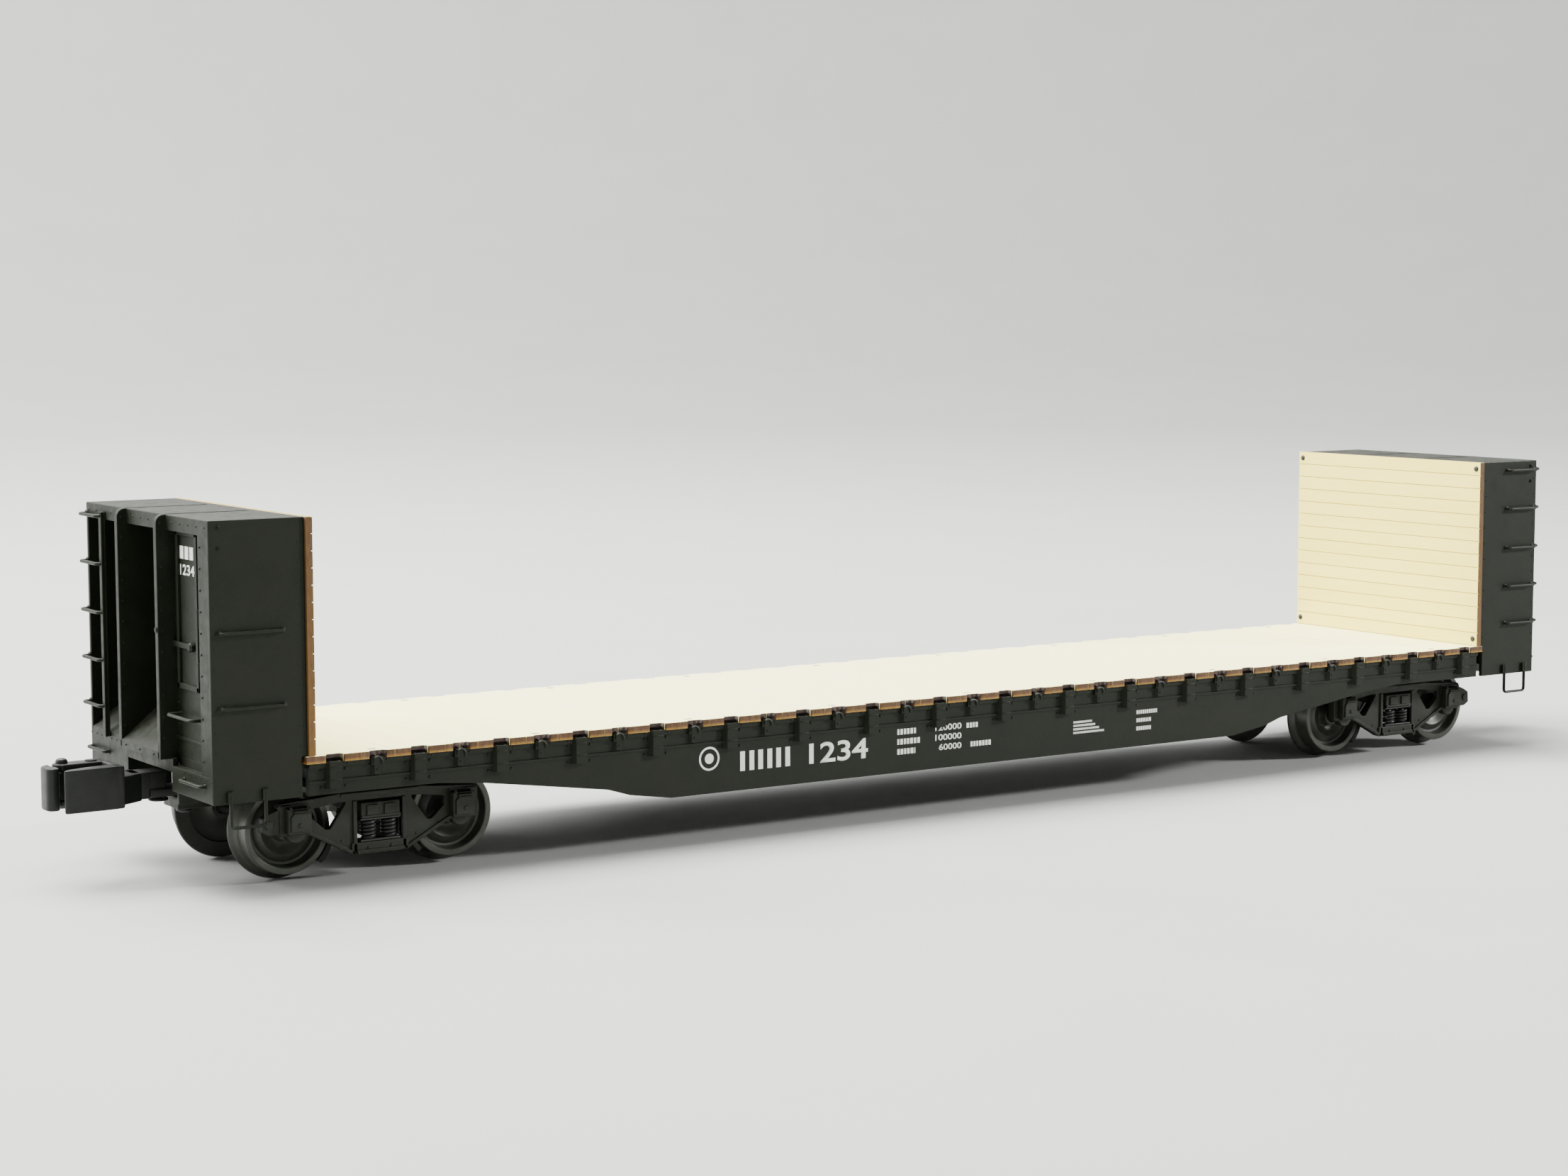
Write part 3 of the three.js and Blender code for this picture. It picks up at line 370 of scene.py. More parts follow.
class Solid:
    """A piece in the making. Every part added to it is a closed form with a finish number."""

    def __init__(self, place=None):
        self.place = place or Matrix()
        self.points, self.faces, self.finishes = [], [], []

    def absorb(self, part, finish):
        bmesh.ops.recalc_face_normals(part, faces=part.faces)
        part.verts.index_update()
        start = len(self.points)
        self.points.extend(self.place @ vert.co for vert in part.verts)
        self.faces.extend([start + vert.index for vert in face.verts] for face in part.faces)
        self.finishes.extend([finish] * len(part.faces))
        part.free()

    def bevel(self, part, width):
        bmesh.ops.recalc_face_normals(part, faces=part.faces)
        if width > 0:
            edges = [edge for edge in part.edges if edge.calc_face_angle(0) > BEVELLED_FROM]
            bmesh.ops.bevel(part, geom=edges, offset=width, offset_type="OFFSET", segments=2, profile=0.5,
                            affect="EDGES", clamp_overlap=True)

    def box(self, x, y, z, bevel=0.12, finish=0):
        part = bmesh.new()
        bmesh.ops.create_cube(part, size=1.0)
        for vert in part.verts:
            vert.co = [(low + high) / 2 + at * (high - low) for at, (low, high) in zip(vert.co, (x, y, z))]
        self.bevel(part, bevel)
        self.absorb(part, finish)

    def prism(self, outline, axis, low, high, bevel=0.12, finish=0):
        """An outline in the two other axes, carried along one axis (0, 1 or 2) from low to high."""
        part = bmesh.new()
        first, second = [i for i in range(3) if i != axis]
        ends = []
        for level in (low, high):
            ring = []
            for u, v in outline:
                point = [0.0, 0.0, 0.0]
                point[axis], point[first], point[second] = level, u, v
                ring.append(part.verts.new(point))
            ends.append(ring)
            part.faces.new(ring)
        count = len(outline)
        for i in range(count):
            j = (i + 1) % count
            part.faces.new((ends[0][i], ends[0][j], ends[1][j], ends[1][i]))
        self.bevel(part, bevel)
        self.absorb(part, finish)

    def tube(self, path, radius, sides=12, closed=False, finish=0, flatten=1.0):
        """Round wire along a path; flatten below 1 makes it a strap that is thinner across."""
        part = bmesh.new()
        path = [Vector(p) for p in path]
        count = len(path)
        directions = []
        for i in range(count):
            after = path[(i + 1) % count] if closed or i + 1 < count else path[i]
            before = path[i - 1] if closed or i > 0 else path[i]
            directions.append((after - before).normalized())
        across = directions[0].orthogonal().normalized()
        if abs(directions[0].x) < 0.9:
            across = directions[0].cross(Vector((1, 0, 0))).normalized()
        wide, thick = radius, radius * flatten
        rings = []
        for point, direction in zip(path, directions):
            across = (across - direction * across.dot(direction)).normalized()
            other = direction.cross(across)
            rings.append([
                part.verts.new(point + across * (wide * math.cos(a)) + other * (thick * math.sin(a)))
                for a in turn_angles(sides)
            ])
        for i in range(count if closed else count - 1):
            near, far = rings[i], rings[(i + 1) % count]
            for k in range(sides):
                part.faces.new((near[k], near[(k + 1) % sides], far[(k + 1) % sides], far[k]))
        if not closed:
            part.faces.new(rings[0])
            part.faces.new(rings[-1])
        self.absorb(part, finish)

    def lathe(self, profile, origin, axis, steps=40, ring=False, finish=0):
        """Turned form: the profile is radius and distance along the axis, and ring joins its two ends."""
        part = bmesh.new()
        along = Vector(axis).normalized()
        out = along.orthogonal().normalized()
        side = along.cross(out)
        rows = []
        for radius, distance in profile:
            middle = Vector(origin) + along * distance
            if radius < 1e-6:
                rows.append([part.verts.new(middle)])
            else:
                rows.append([
                    part.verts.new(middle + (out * math.cos(a) + side * math.sin(a)) * radius)
                    for a in turn_angles(steps)
                ])
        pairs = list(zip(rows, rows[1:])) + ([(rows[-1], rows[0])] if ring else [])
        for near, far in pairs:
            for k in range(steps):
                j = (k + 1) % steps
                corners = [near[k % len(near)], near[j % len(near)], far[j % len(far)], far[k % len(far)]]
                face = list(dict.fromkeys(corners))
                if len(face) > 2:
                    part.faces.new(face)
        self.absorb(part, finish)

    def rivet(self, point, axis, radius, height):
        """Round head that stands height off the surface; its foot is sunk by ROOT."""
        dome = [(radius * 0.96, height * 0.35), (radius * 0.7, height * 0.8), (0, height)]
        self.lathe([(0, -ROOT), (radius, -ROOT)] + dome, point, axis, 10)

    def bolt(self, point, axis, radius, height):
        """Hexagon nut with the bolt's end standing out of it."""
        nut = [(0, -ROOT), (radius, -ROOT), (radius, height * 0.8), (radius * 0.85, height), (0, height)]
        thread = [(0, 0), (radius * 0.5, 0), (radius * 0.45, height * 1.5), (0, height * 1.6)]
        self.lathe(nut, point, axis, 6)
        self.lathe(thread, point, axis, 8)

    def mesh(self, name):
        mesh = bpy.data.meshes.new(name)
        mesh.from_pydata([point * MM for point in self.points], [], self.faces)
        mesh.polygons.foreach_set("material_index", self.finishes)
        mesh.polygons.foreach_set("use_smooth", [True] * len(self.faces))
        mesh.set_sharp_from_angle(angle=SHARP_FROM)
        return mesh

    def show(self, name, body, finish, slot, replaced=()):
        return show(name, self.mesh(name), body, [finish], replaced)


def show(name, mesh, body, finishes, replaced=()):
    """Puts a finished mesh in the scene as one piece of the visual model."""
    for finish in finishes:
        mesh.materials.append(finish)
    piece = new_object(name, mesh)
    piece.modifiers.new("even_shading", "WEIGHTED_NORMAL").keep_sharp = True
    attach(piece, body)
    if replaced:
        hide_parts(*replaced)
    return piece


HALF_TURN = Matrix.Rotation(math.pi, 4, "Z")
TURN = {"right": Matrix(), "left": HALF_TURN}
SIGN = {"right": 1, "left": -1}
TRUCK_CENTRE = 148.0


def truck_place(end):
    """Where a truck stands: its own +X points out of its end of the car."""
    return Matrix.Translation((SIGN[end] * TRUCK_CENTRE, 0, 0)) @ TURN[end]


# ---- sizes shared with the CAD part
DECK_TOP, DECK_BOTTOM = 28.2, 26.65
DECK_HALF_WIDTH, DECK_HALF_LENGTH = 34.1, 168.9
BAY_PITCH = 19.12
BOARD_PITCH = BAY_PITCH / 5
POCKETS = [(i - 8.5) * BAY_PITCH for i in range(18)]
HOOKS = [(i - 8) * BAY_PITCH for i in range(17)]
DECK_SLOTS = HOOKS[::2]
WEB_FACE = 32.9
LINING_FACE, LINING_BACK, LINING_HALF_WIDTH, LINING_BOARDS = 166.7, 168.25, 34.05, 14
BULKHEAD_TOP, BULKHEAD_INNER, BULKHEAD_OUTER, BULKHEAD_HALF = 76.8, 168.3, 188.8, 33.4
SHEET, POST_OUTER, POST_Y, POST_HALF, PANEL_FACE = 1.1, 190.9, 10.7, 0.8, 187.0
POST_BOTTOM, SILL_TOP, MIDDLE_SILL_BOTTOM, APRON_BOTTOM = 26.65, 26.2, 24.0, 20.05
COUPLER_OPENING_HALF = 12.0
RUNG_HEIGHTS = [DECK_TOP + rise for rise in (5.5, 15.4, 25.6, 36.0, 46.2)]
GRAB_HEIGHTS = [DECK_TOP + rise for rise in (11.0, 26.1)]
WIRE = 0.38
AXLE_Z, HALF_WHEELBASE = 11.1, 18.95
FRAME_INNER, FRAME_OUTER = 22.0, 24.2
HAND_SIDE = {"a": -1, "b": 1}


# ---- wood deck
CUT_HEIGHTS = (25.0, 30.0)
SLOT_HALF = 0.9
EDGE_BAND = 0.2


def carved(mesh, tools):
    """The mesh with closed tool forms cut out of it."""
    body, cutter = new_object("carving", mesh), new_object("cutter", tools)
    cut = body.modifiers.new("cut", "BOOLEAN")
    cut.operation, cut.solver, cut.object = "DIFFERENCE", "EXACT", cutter
    result = finished_mesh(body)
    for item in (body, cutter):
        bpy.data.objects.remove(item)
    return result


def notch(tools, x, side, back, half_back, half_front):
    """Cutting form for a notch in the deck's edge: from back outwards, wider at its mouth."""
    front = DECK_HALF_WIDTH + 0.5
    outline = [(x - half_back, side * back), (x + half_back, side * back),
               (x + half_front, side * front), (x - half_front, side * front)]
    tools.prism(outline, 2, *CUT_HEIGHTS, 0)


def make_deck():
    draw = Random(41)
    boards = Solid()
    joints = int(DECK_HALF_LENGTH // BOARD_PITCH) - 1
    edges = [k * BOARD_PITCH for k in range(-joints, joints + 1)]
    edges = [-DECK_HALF_LENGTH] + edges + [DECK_HALF_LENGTH]
    width = (-DECK_HALF_WIDTH, DECK_HALF_WIDTH)
    for start, end in zip(edges, edges[1:]):
        gap = 0.02 + draw.uniform(0, 0.02)
        boards.box((start + gap, end - gap), width, (DECK_BOTTOM, DECK_TOP), 0.06)
    tools = Solid()
    for side in (1, -1):
        for x in POCKETS:
            notch(tools, x, side, 32.7, 1.45, 2.35)
        for x in HOOKS:
            notch(tools, x, side, 33.3, 1.5, 2.35)
        for x in DECK_SLOTS:
            tools.box((x - SLOT_HALF, x + SLOT_HALF), span(side, 30.6, 31.4), CUT_HEIGHTS, 0)
    mesh = carved(boards.mesh("deck_boards"), tools.mesh("deck_tools"))
    finishes = [DECK_WOOD, SCORCHED, NOTCH_BURN_AND_SHADE]
    deck = show("deck_boards", mesh, "car", finishes, ["wood_deck"])
    for face in deck.data.polygons:
        x, y = abs(face.center.x) / MM, abs(face.center.y) / MM
        at_end = x > DECK_HALF_LENGTH - EDGE_BAND
        at_side = y > DECK_HALF_WIDTH - EDGE_BAND
        cut_by_beam = abs(face.normal.z) < 0.5 and (at_end or y > 30.0)
        # Ends and outer edges get the plain burn. Walls inside the notches and slots get the darker burn,
        # which adds painted shade.
        if cut_by_beam:
            face.material_index = 1 if at_end or at_side else 2
        else:
            face.material_index = 0


def make_lining(end):
    """Level boards with open grooves over a plain backing, held by a round head at each corner."""
    boards = Solid(TURN[end])
    half, foot = LINING_HALF_WIDTH, DECK_TOP + 0.05
    pitch = (BULKHEAD_TOP - DECK_TOP) / LINING_BOARDS
    backing, head = 2, 3
    back = (LINING_FACE + 0.4, LINING_BACK)
    boards.box(back, (-half + 0.02, half - 0.02), (foot, BULKHEAD_TOP - 0.02), 0, backing)
    draw = Random(7 + SIGN[end])
    for i in range(LINING_BOARDS):
        low = foot + i * pitch
        x = (LINING_FACE + draw.uniform(0, 0.05), LINING_FACE + 1.0)
        boards.box(x, (-half, half), (low + 0.07, min(low + pitch - 0.07, BULKHEAD_TOP)), 0.1)
    screw = [(0, -0.1), (0.75, -0.1), (0.7, 0.12), (0.35, 0.28), (0, 0.3)]
    for y in (-32.6, 32.6):
        for z in (DECK_TOP + 1.9, BULKHEAD_TOP - 1.7):
            boards.lathe(screw, (LINING_FACE, y, z), (-1, 0, 0), 14, finish=head)
    mesh = boards.mesh(f"lining_boards_{end}")
    for face in mesh.polygons:
        at_side = abs(face.normal.y) > 0.6 and abs(face.center.y) > (half - 0.3) * MM
        at_back = abs(face.center.x) > (LINING_BACK - 0.01) * MM
        if face.material_index != head and (at_side or at_back):
            face.material_index = 1
    finishes = [LINING_WOOD, SCORCHED_LINING, GROOVE, STEEL_DARK]
    show(f"lining_boards_{end}", mesh, "car", finishes, [f"lining_{end}"])


# ---- underframe details
def make_side_details():
    details = Solid()
    for side in (1, -1):
        out = (0, side, 0)
        for x in POCKETS:
            for offset, z in ((2.75, 21.5), (2.75, 25.0), (-2.75, 21.5), (-2.75, 25.0)):
                details.rivet((x + offset, side * WEB_FACE, z), out, 0.33, 0.22)
            for low in (23.0, 25.6):
                y = span(side, 34.2, 34.42)
                details.box((x - 1.15, x + 1.15), y, (low - 0.16, low + 0.16), 0.08)
        for x in HOOKS:
            details.rivet((x, side * (WEB_FACE + 0.85), 24.3), out, 0.3, 0.2)
            hook = [(x - 0.9, side * 33.9, 25.6), (x - 0.9, side * 34.2, 26.6),
                    (x - 0.2, side * 34.0, 26.95), (x + 0.5, side * 33.95, 26.8),
                    (x + 0.9, side * 34.15, 26.1), (x + 0.9, side * 33.9, 25.4)]
            details.tube(rounded_path(hook, 0.5, 3), 0.26, 8)
        for x in POCKETS[:-1]:
            for step in (-3, -1, 1, 3):
                details.rivet((x + BAY_PITCH / 2 + step * 2.2, side * 33.4, 26.1), out, 0.22, 0.16)
    details.show("side_fittings", "car", CAR_PAINT, "car_paint")


def make_floor_bolts():
    """Nuts under the body bolsters, whose undersides rise towards the sides of the car."""
    bolts = Solid()
    middle_z, rise, rise_width = 20.9, 1.05, 31.75
    for truck_x in (TRUCK_CENTRE, -TRUCK_CENTRE):
        for y in (-26, -14, 14, 26):
            for dx in (-2.5, 2.5):
                bolts.bolt((truck_x + dx, y, middle_z + abs(y) / rise_width * rise), (0, 0, -1), 0.55, 0.4)
    bolts.show("bolster_bolts", "car", CAR_PAINT, "car_paint")


# ---- bulkheads
def hand_hold(piece, foot, reach, run, out, bend=0.9):
    """Wire bent into a U from foot: out by reach, along by run and back, with a round pad at each foot."""
    foot, out = Vector(foot), Vector(out)
    far = foot + Vector(run)
    path = [foot - out * 0.3, foot + out * reach, far + out * reach, far - out * 0.3]
    piece.tube(rounded_path(path, bend), WIRE, 12)
    for end in (foot, far):
        piece.lathe([(0, -0.05), (0.6, -0.05), (0.6, 0.18), (0.5, 0.24), (0, 0.24)], end, out, 14)


def add_bulkhead_walls(b):
    """Back sheet, side walls, the two posts, the roof and the rail under it."""
    inner, outer, top, half = BULKHEAD_INNER, BULKHEAD_OUTER, BULKHEAD_TOP, BULKHEAD_HALF
    bottom, corner = DECK_TOP + 0.05, 1.7
    b.box((inner + 0.05, inner + SHEET), (0.1 - half, half - 0.1), (bottom, top - 0.3), 0.1)
    wall = [(169.5, 20.0), (outer, 20.0), (outer, top - 0.04), (inner, top - 0.04), (inner, bottom),
            (169.5, bottom)]
    post = [(168.8, POST_BOTTOM + 1.8), (169.2, POST_BOTTOM + 1.6), (169.2, POST_BOTTOM),
            (POST_OUTER, POST_BOTTOM)]
    post += [(POST_OUTER - corner + corner * math.cos(a), top - corner + corner * math.sin(a))
             for a in (math.pi / 2 * k / 6 for k in range(7))]
    post += [(170.5, top), (168.8, top - 0.5)]
    for side in (1, -1):
        b.prism(wall, 1, *span(side, half - SHEET, half), 0.22)
        b.prism(post, 1, side * POST_Y - POST_HALF, side * POST_Y + POST_HALF, 0.16)
        for z in [31.0 + 4.4 * k for k in range(11)]:
            for face in (1, -1):
                b.rivet((POST_OUTER - 0.9, side * POST_Y + face * POST_HALF, z), (0, face, 0), 0.26, 0.18)
        for z in [30.4 + 4.15 * k for k in range(11)]:
            for x in (inner + 1.4, outer - 0.9):
                b.rivet((x, side * half, z), (0, side, 0), 0.22, 0.14)
        for z in (71.3, 75.4):
            b.bolt((outer - 2.2, side * half, z), (0, side, 0), 0.42, 0.3)
    b.box((inner + 0.03, outer - 0.04), (0.04 - half, half - 0.04), (top - SHEET, top), 0.18)
    b.box((outer - SHEET, outer + 0.03), (0.3 - half, half - 0.3), (top - 3.2, top - 0.08), 0.15)
    for y in [-31.5 + k * 4.2 for k in range(16)]:
        if abs(abs(y) - POST_Y) > 1.3:
            b.rivet((outer, y, top - 1.5), (1, 0, 0), 0.26, 0.18)


def add_bulkhead_panel(b):
    """Panel beside a post, with its door frame, hinges, latch bar and the corner column."""
    face = PANEL_FACE
    b.box((face - SHEET, face), (POST_Y, BULKHEAD_HALF - SHEET + 0.1), (SILL_TOP, BULKHEAD_TOP - 0.5), 0)
    left, right, low, high = 13.2, 24.2, 41.5, 73.9
    width, proud = 1.1, 0.6
    for y, z in (((left, left + width), (low, high)), ((right - width, right), (low, high)),
                 ((left, right), (high - width, high)), ((left, right), (low, low + width))):
        b.box((face - 0.1, face + proud), y, z, 0.12)
    hinge_y, hinge_x = 25.2, face + 0.75
    for z in (45.8, 56.6):
        b.box((face - 0.1, hinge_x), (24.0, 26.6), (z - 1.5, z + 1.5), 0.15)
        b.tube([(hinge_x, hinge_y, z - 1.9), (hinge_x, hinge_y, z + 1.9)], 0.42, 12)
    b.box((face + 0.2, face + 0.95), (10.8, 21.7), (49.9, 51.0), 0.2)
    b.lathe([(0, 0), (1.0, 0), (1.0, 0.8), (0.7, 1.15), (0, 1.2)], (face, 20.6, 50.45), (1, 0, 0), 18)
    b.lathe([(0, 0), (0.6, 0), (0.55, 0.3), (0, 0.42)], (POST_OUTER - 0.05, POST_Y, 53.3), (1, 0, 0), 12)
    b.box((face - 0.1, face + 0.3), (11.4, 27.7), (30.8, 31.5), 0.1)
    for z in [34.0 + 4.4 * k for k in range(9)]:
        b.rivet((face, 12.4, z), (1, 0, 0), 0.22, 0.16)
        b.rivet((face, 26.7, z + 1.0), (1, 0, 0), 0.22, 0.16)
    column = (APRON_BOTTOM + 0.01, BULKHEAD_TOP - 0.3)
    b.box((face - SHEET, BULKHEAD_OUTER - 0.05), (27.6, BULKHEAD_HALF - 0.3), column, 0.2)
    for z in [24.0 + 4.3 * k for k in range(12)]:
        b.rivet((BULKHEAD_OUTER, 28.7, z), (1, 0, 0), 0.26, 0.18)


def add_end_sill(b):
    """Sloping plates above the sill, the aprons each side of the coupler, and the cover over it."""
    inside, opening, outer = BULKHEAD_HALF - SHEET, COUPLER_OPENING_HALF, BULKHEAD_OUTER
    slopes = ((POST_OUTER, 181.0, 8.0, -POST_Y, POST_Y), (outer, 182.5, 4.6, -inside - 0.1, -POST_Y))
    for near, far, rise, y0, y1 in slopes:
        low, high = SILL_TOP + 0.4, SILL_TOP + 2.0
        b.prism([(near, low), (near, high), (far, high + rise), (far, low + rise)], 1, y0, y1, 0.12)
    ladder_apron, panel_apron = (0.3 - BULKHEAD_HALF, -opening), (opening, BULKHEAD_HALF - 0.35)
    b.box((outer - SHEET, outer + 0.03), ladder_apron, (APRON_BOTTOM, SILL_TOP + 1.5), 0.16)
    b.box((PANEL_FACE - SHEET, outer + 0.03), panel_apron, (APRON_BOTTOM + 0.05, SILL_TOP - 0.8), 0.16)
    b.box((PANEL_FACE - SHEET, PANEL_FACE + 0.04), panel_apron, (SILL_TOP - 1.2, SILL_TOP + 1), 0.1)
    middle = (MIDDLE_SILL_BOTTOM, SILL_TOP + 0.75)
    b.box((outer - SHEET, outer), (-opening - 0.9, opening + 0.9), middle, 0.14)
    cover_x, wall_x = (172.0, 185.85), (179.1, outer - SHEET + 0.1)
    b.box(cover_x, (-opening - 1.2, opening + 1.2), (23.75, 25.5), 0.14)
    for side in (1, -1):
        b.box(wall_x, span(side, opening + 0.1, opening + 1.1), (17.3, 24.1), 0.14)
    for y in (-7.7, 0.0, 7.7):
        for z in (27.4, 28.0):
            b.rivet((POST_OUTER - (z - 27.4) * 1.6, y, z), (0.9, 0, 0.4), 0.24, 0.2)
    for y in [18.4 + 2.9 * k for k in range(6)]:
        b.rivet((outer, y, 24.7), (1, 0, 0), 0.22, 0.16)
        b.rivet((outer, -y, 26.9), (1, 0, 0), 0.22, 0.16)


def make_bulkhead(end):
    b = Solid(TURN[end])
    add_bulkhead_walls(b)
    add_bulkhead_panel(b)
    add_end_sill(b)
    hand_hold(b, (PANEL_FACE, 13.45, DECK_TOP + 8.0), 3.0, (0, 12.1, 0), (1, 0, 0))
    hand_hold(b, (BULKHEAD_OUTER, 18.85, 23.4), 1.2, (0, 10.7, 0), (1, 0, 0))
    hand_hold(b, (BULKHEAD_OUTER, -32.35, 23.85), 1.2, (0, 9.5, 0), (1, 0, 0))
    b.show(f"bulkhead_shell_{end}", "car", CAR_PAINT, "car_paint", [f"bulkhead_{end}"])


def make_ladder(end):
    """Flat stile and five bent rungs up the end, whose outer feet stand by the corner."""
    ladder = Solid(TURN[end])
    face = BULKHEAD_OUTER + 0.05
    stile, foot_y = (27.2, BULKHEAD_TOP - 1.5), -32.75
    ladder.box((face, face + 1.0), (-23.55, -22.05), stile, 0.15)
    ladder.box((face, face + 0.3), (-23.8, -21.8), stile, 0.08)
    for z in RUNG_HEIGHTS:
        path = [(face + 0.9, -22.8, z), (face + 1.75, -23.4, z), (face + 1.75, foot_y, z),
                (face - 0.2, foot_y, z)]
        ladder.tube(rounded_path(path, 1.0), WIRE, 12)
        ladder.lathe([(0, 0), (0.75, 0), (0.7, 0.3), (0, 0.32)], (face, foot_y, z), (1, 0, 0), 14)
        ladder.bolt((face + 0.3, -23.5, z), (1, 0, 0), 0.3, 0.2)
    ladder.show(f"ladder_{end}", "car", CAR_PAINT, "car_paint", [f"end_ladder_{end}"])


def make_side_wires(end):
    """Short rungs on the ladder side and long hand holds on the other side."""
    rows = [(f"side_rung_{end}_{i + 1}", 177.65, 187.55, z, -1) for i, z in enumerate(RUNG_HEIGHTS)]
    rows += [(f"side_grab_{end}_{i + 1}", 173.25, 186.95, z, 1) for i, z in enumerate(GRAB_HEIGHTS)]
    for node, x0, x1, z, side in rows:
        wire = Solid(TURN[end])
        hand_hold(wire, (x0, side * (BULKHEAD_HALF + 0.05), z), 1.2, (x1 - x0, 0, 0), (0, side, 0), 1.1)
        wire.show(f"{node}_wire", "car", CAR_PAINT, "car_paint", [node])


def make_steps(end):
    """Stirrup steps: a flattened iron bent into a U under each corner."""
    inner_x, outer_x, low, high = 177.7, 185.2, 15.2, 22.6
    for place, side in (("ladder", -1), ("grab", 1)):
        step = Solid(TURN[end])
        y = side * (BULKHEAD_HALF + 0.4)
        path = [(inner_x, y, high), (inner_x, y, low), (outer_x, y, low), (outer_x, y, high)]
        step.tube(rounded_path(path, 0.9), 0.42, 12, flatten=0.8)
        for x in (inner_x, outer_x):
            pad = sorted((y - side * 0.34, y + side * 0.3))
            step.box((x - 0.75, x + 0.75), pad, (20.3, high), 0.1)
            step.bolt((x, y + side * 0.1, 21.4), (0, side, 0), 0.35, 0.24)
        name = f"step_{end}_{place}"
        step.show(f"{name}_iron", "car", CAR_PAINT, "car_paint", [name])


# ---- hand brake and air brake gear
BRAKE_X, BRAKE_Z = POST_OUTER + 0.05, 50.0
BRAKE_CENTRE = (BRAKE_X, 0, BRAKE_Z)


def make_brake_housing():
    """Gear case on a plate across the posts, with the raised ring that the wheel's shaft comes out of."""
    housing = Solid()
    housing.box((BRAKE_X, BRAKE_X + 0.8), (-11.5, 11.5), (BRAKE_Z - 7, BRAKE_Z + 7), 0.2)
    outline = [(-4.6, -6), (4.6, -6), (4.6, 3), (2.6, 5.4), (-2.6, 5.4), (-4.6, 3)]
    housing.prism([(y, BRAKE_Z + z) for y, z in outline], 0, BRAKE_X + 0.5, BRAKE_X + 2.9, 0.5)
    collar = [(0, 0), (2.6, 0), (2.6, 0.5), (2.2, 0.7), (1.1, 0.7), (1.1, 0.3), (0, 0.3)]
    housing.lathe(collar, (BRAKE_X + 2.7, 0, BRAKE_Z), (1, 0, 0), 28)
    for y in (-10.2, 10.2):
        for z in (-5.6, 0, 5.6):
            housing.bolt((BRAKE_X + 0.8, y, BRAKE_Z + z), (1, 0, 0), 0.5, 0.35)
    for y in (-3.7, 3.7):
        for z in (-5.1, 1.6):
            housing.rivet((BRAKE_X + 2.9, y, BRAKE_Z + z), (1, 0, 0), 0.35, 0.25)
    housing.show("brake_box", "car", CAR_PAINT, "car_paint", ["brake_housing"])


def make_brake_wheel():
    wheel = Solid()
    rim_x, rim_radius, spoke_reach, spokes = BRAKE_X + 5.6, 5.4, 5.2, 5
    ring = [(rim_x, rim_radius * math.sin(a), BRAKE_Z + rim_radius * math.cos(a)) for a in turn_angles(48)]
    wheel.tube(ring, 0.48, 12, closed=True)
    bow = [(rim_x - 0.6 + 0.6 * t ** 2, spoke_reach * t) for t in (0.1, 0.4, 0.7, 1.0)]
    for a in turn_angles(spokes):
        spoke = [(x, reach * math.sin(a), BRAKE_Z + reach * math.cos(a)) for x, reach in bow]
        wheel.tube(spoke, 0.42, 8, flatten=0.7)
    hub = [(0, 1.6), (0.72, 1.6), (0.72, 3.6), (1.3, 3.7), (1.35, 5.6), (1.1, 5.9), (0.6, 6.0),
           (0.6, 6.3), (0, 6.35)]
    wheel.lathe(hub, BRAKE_CENTRE, (1, 0, 0), 28)
    wheel.show("brake_handwheel", "brake_wheel", CAR_PAINT, "car_paint", ["brake_wheel"])


def make_brake_gear():
    """Reservoir, valve and cylinder in a row under the floor, with the pipes and hangers that hold them."""
    gear = Solid()
    y, z = 17.0, 20.2
    line = (0, y, z)
    tank = [(0, -51.0), (2.4, -50.7), (3.5, -50.0), (4.0, -48.6), (4.0, -28.4), (3.5, -27.0),
            (2.4, -26.3), (0, -26.0)]
    gear.lathe(tank, line, (1, 0, 0), 40)
    for x in (-44.0, -33.0):
        strap = [(3.9, x - 0.6), (4.15, x - 0.5), (4.15, x + 0.5), (3.9, x + 0.6)]
        gear.lathe(strap, line, (1, 0, 0), 40, ring=True)
    gear.box((-17, -9), (y - 3, y + 3), (z - 3, z + 3), 0.5)
    for dy in (-2, 2):
        for x in (-15.6, -10.4):
            gear.bolt((x, y + dy, z - 3), (0, 0, -1), 0.45, 0.35)
    cylinder = [(0, -4.0), (3.0, -4.0), (3.5, -3.5), (3.5, 8.6), (3.9, 8.6), (3.9, 9.6), (2.0, 10.2),
                (0.8, 10.4), (0.7, 16.0), (0, 16.0)]
    gear.lathe(cylinder, line, (1, 0, 0), 40)
    for dy in (-1.6, 1.6):
        gear.tube([(-28, y + dy, z), (-2, y + dy, z)], 0.5, 12)
    for x in (-44, -33, -13, 3):
        for near, far in ((-1.4, -0.8), (0.8, 1.4)):
            gear.box((x - 0.5, x + 0.5), (y + near, y + far), (z + 1, 23.9), 0.08)
        gear.box((x - 0.6, x + 0.6), (y - 1.5, y + 0.25), (23.4, 25.55), 0.08)
    gear.show("air_brake_gear", "car", TRUCK_PAINT, "truck_paint", ["brake_gear"])


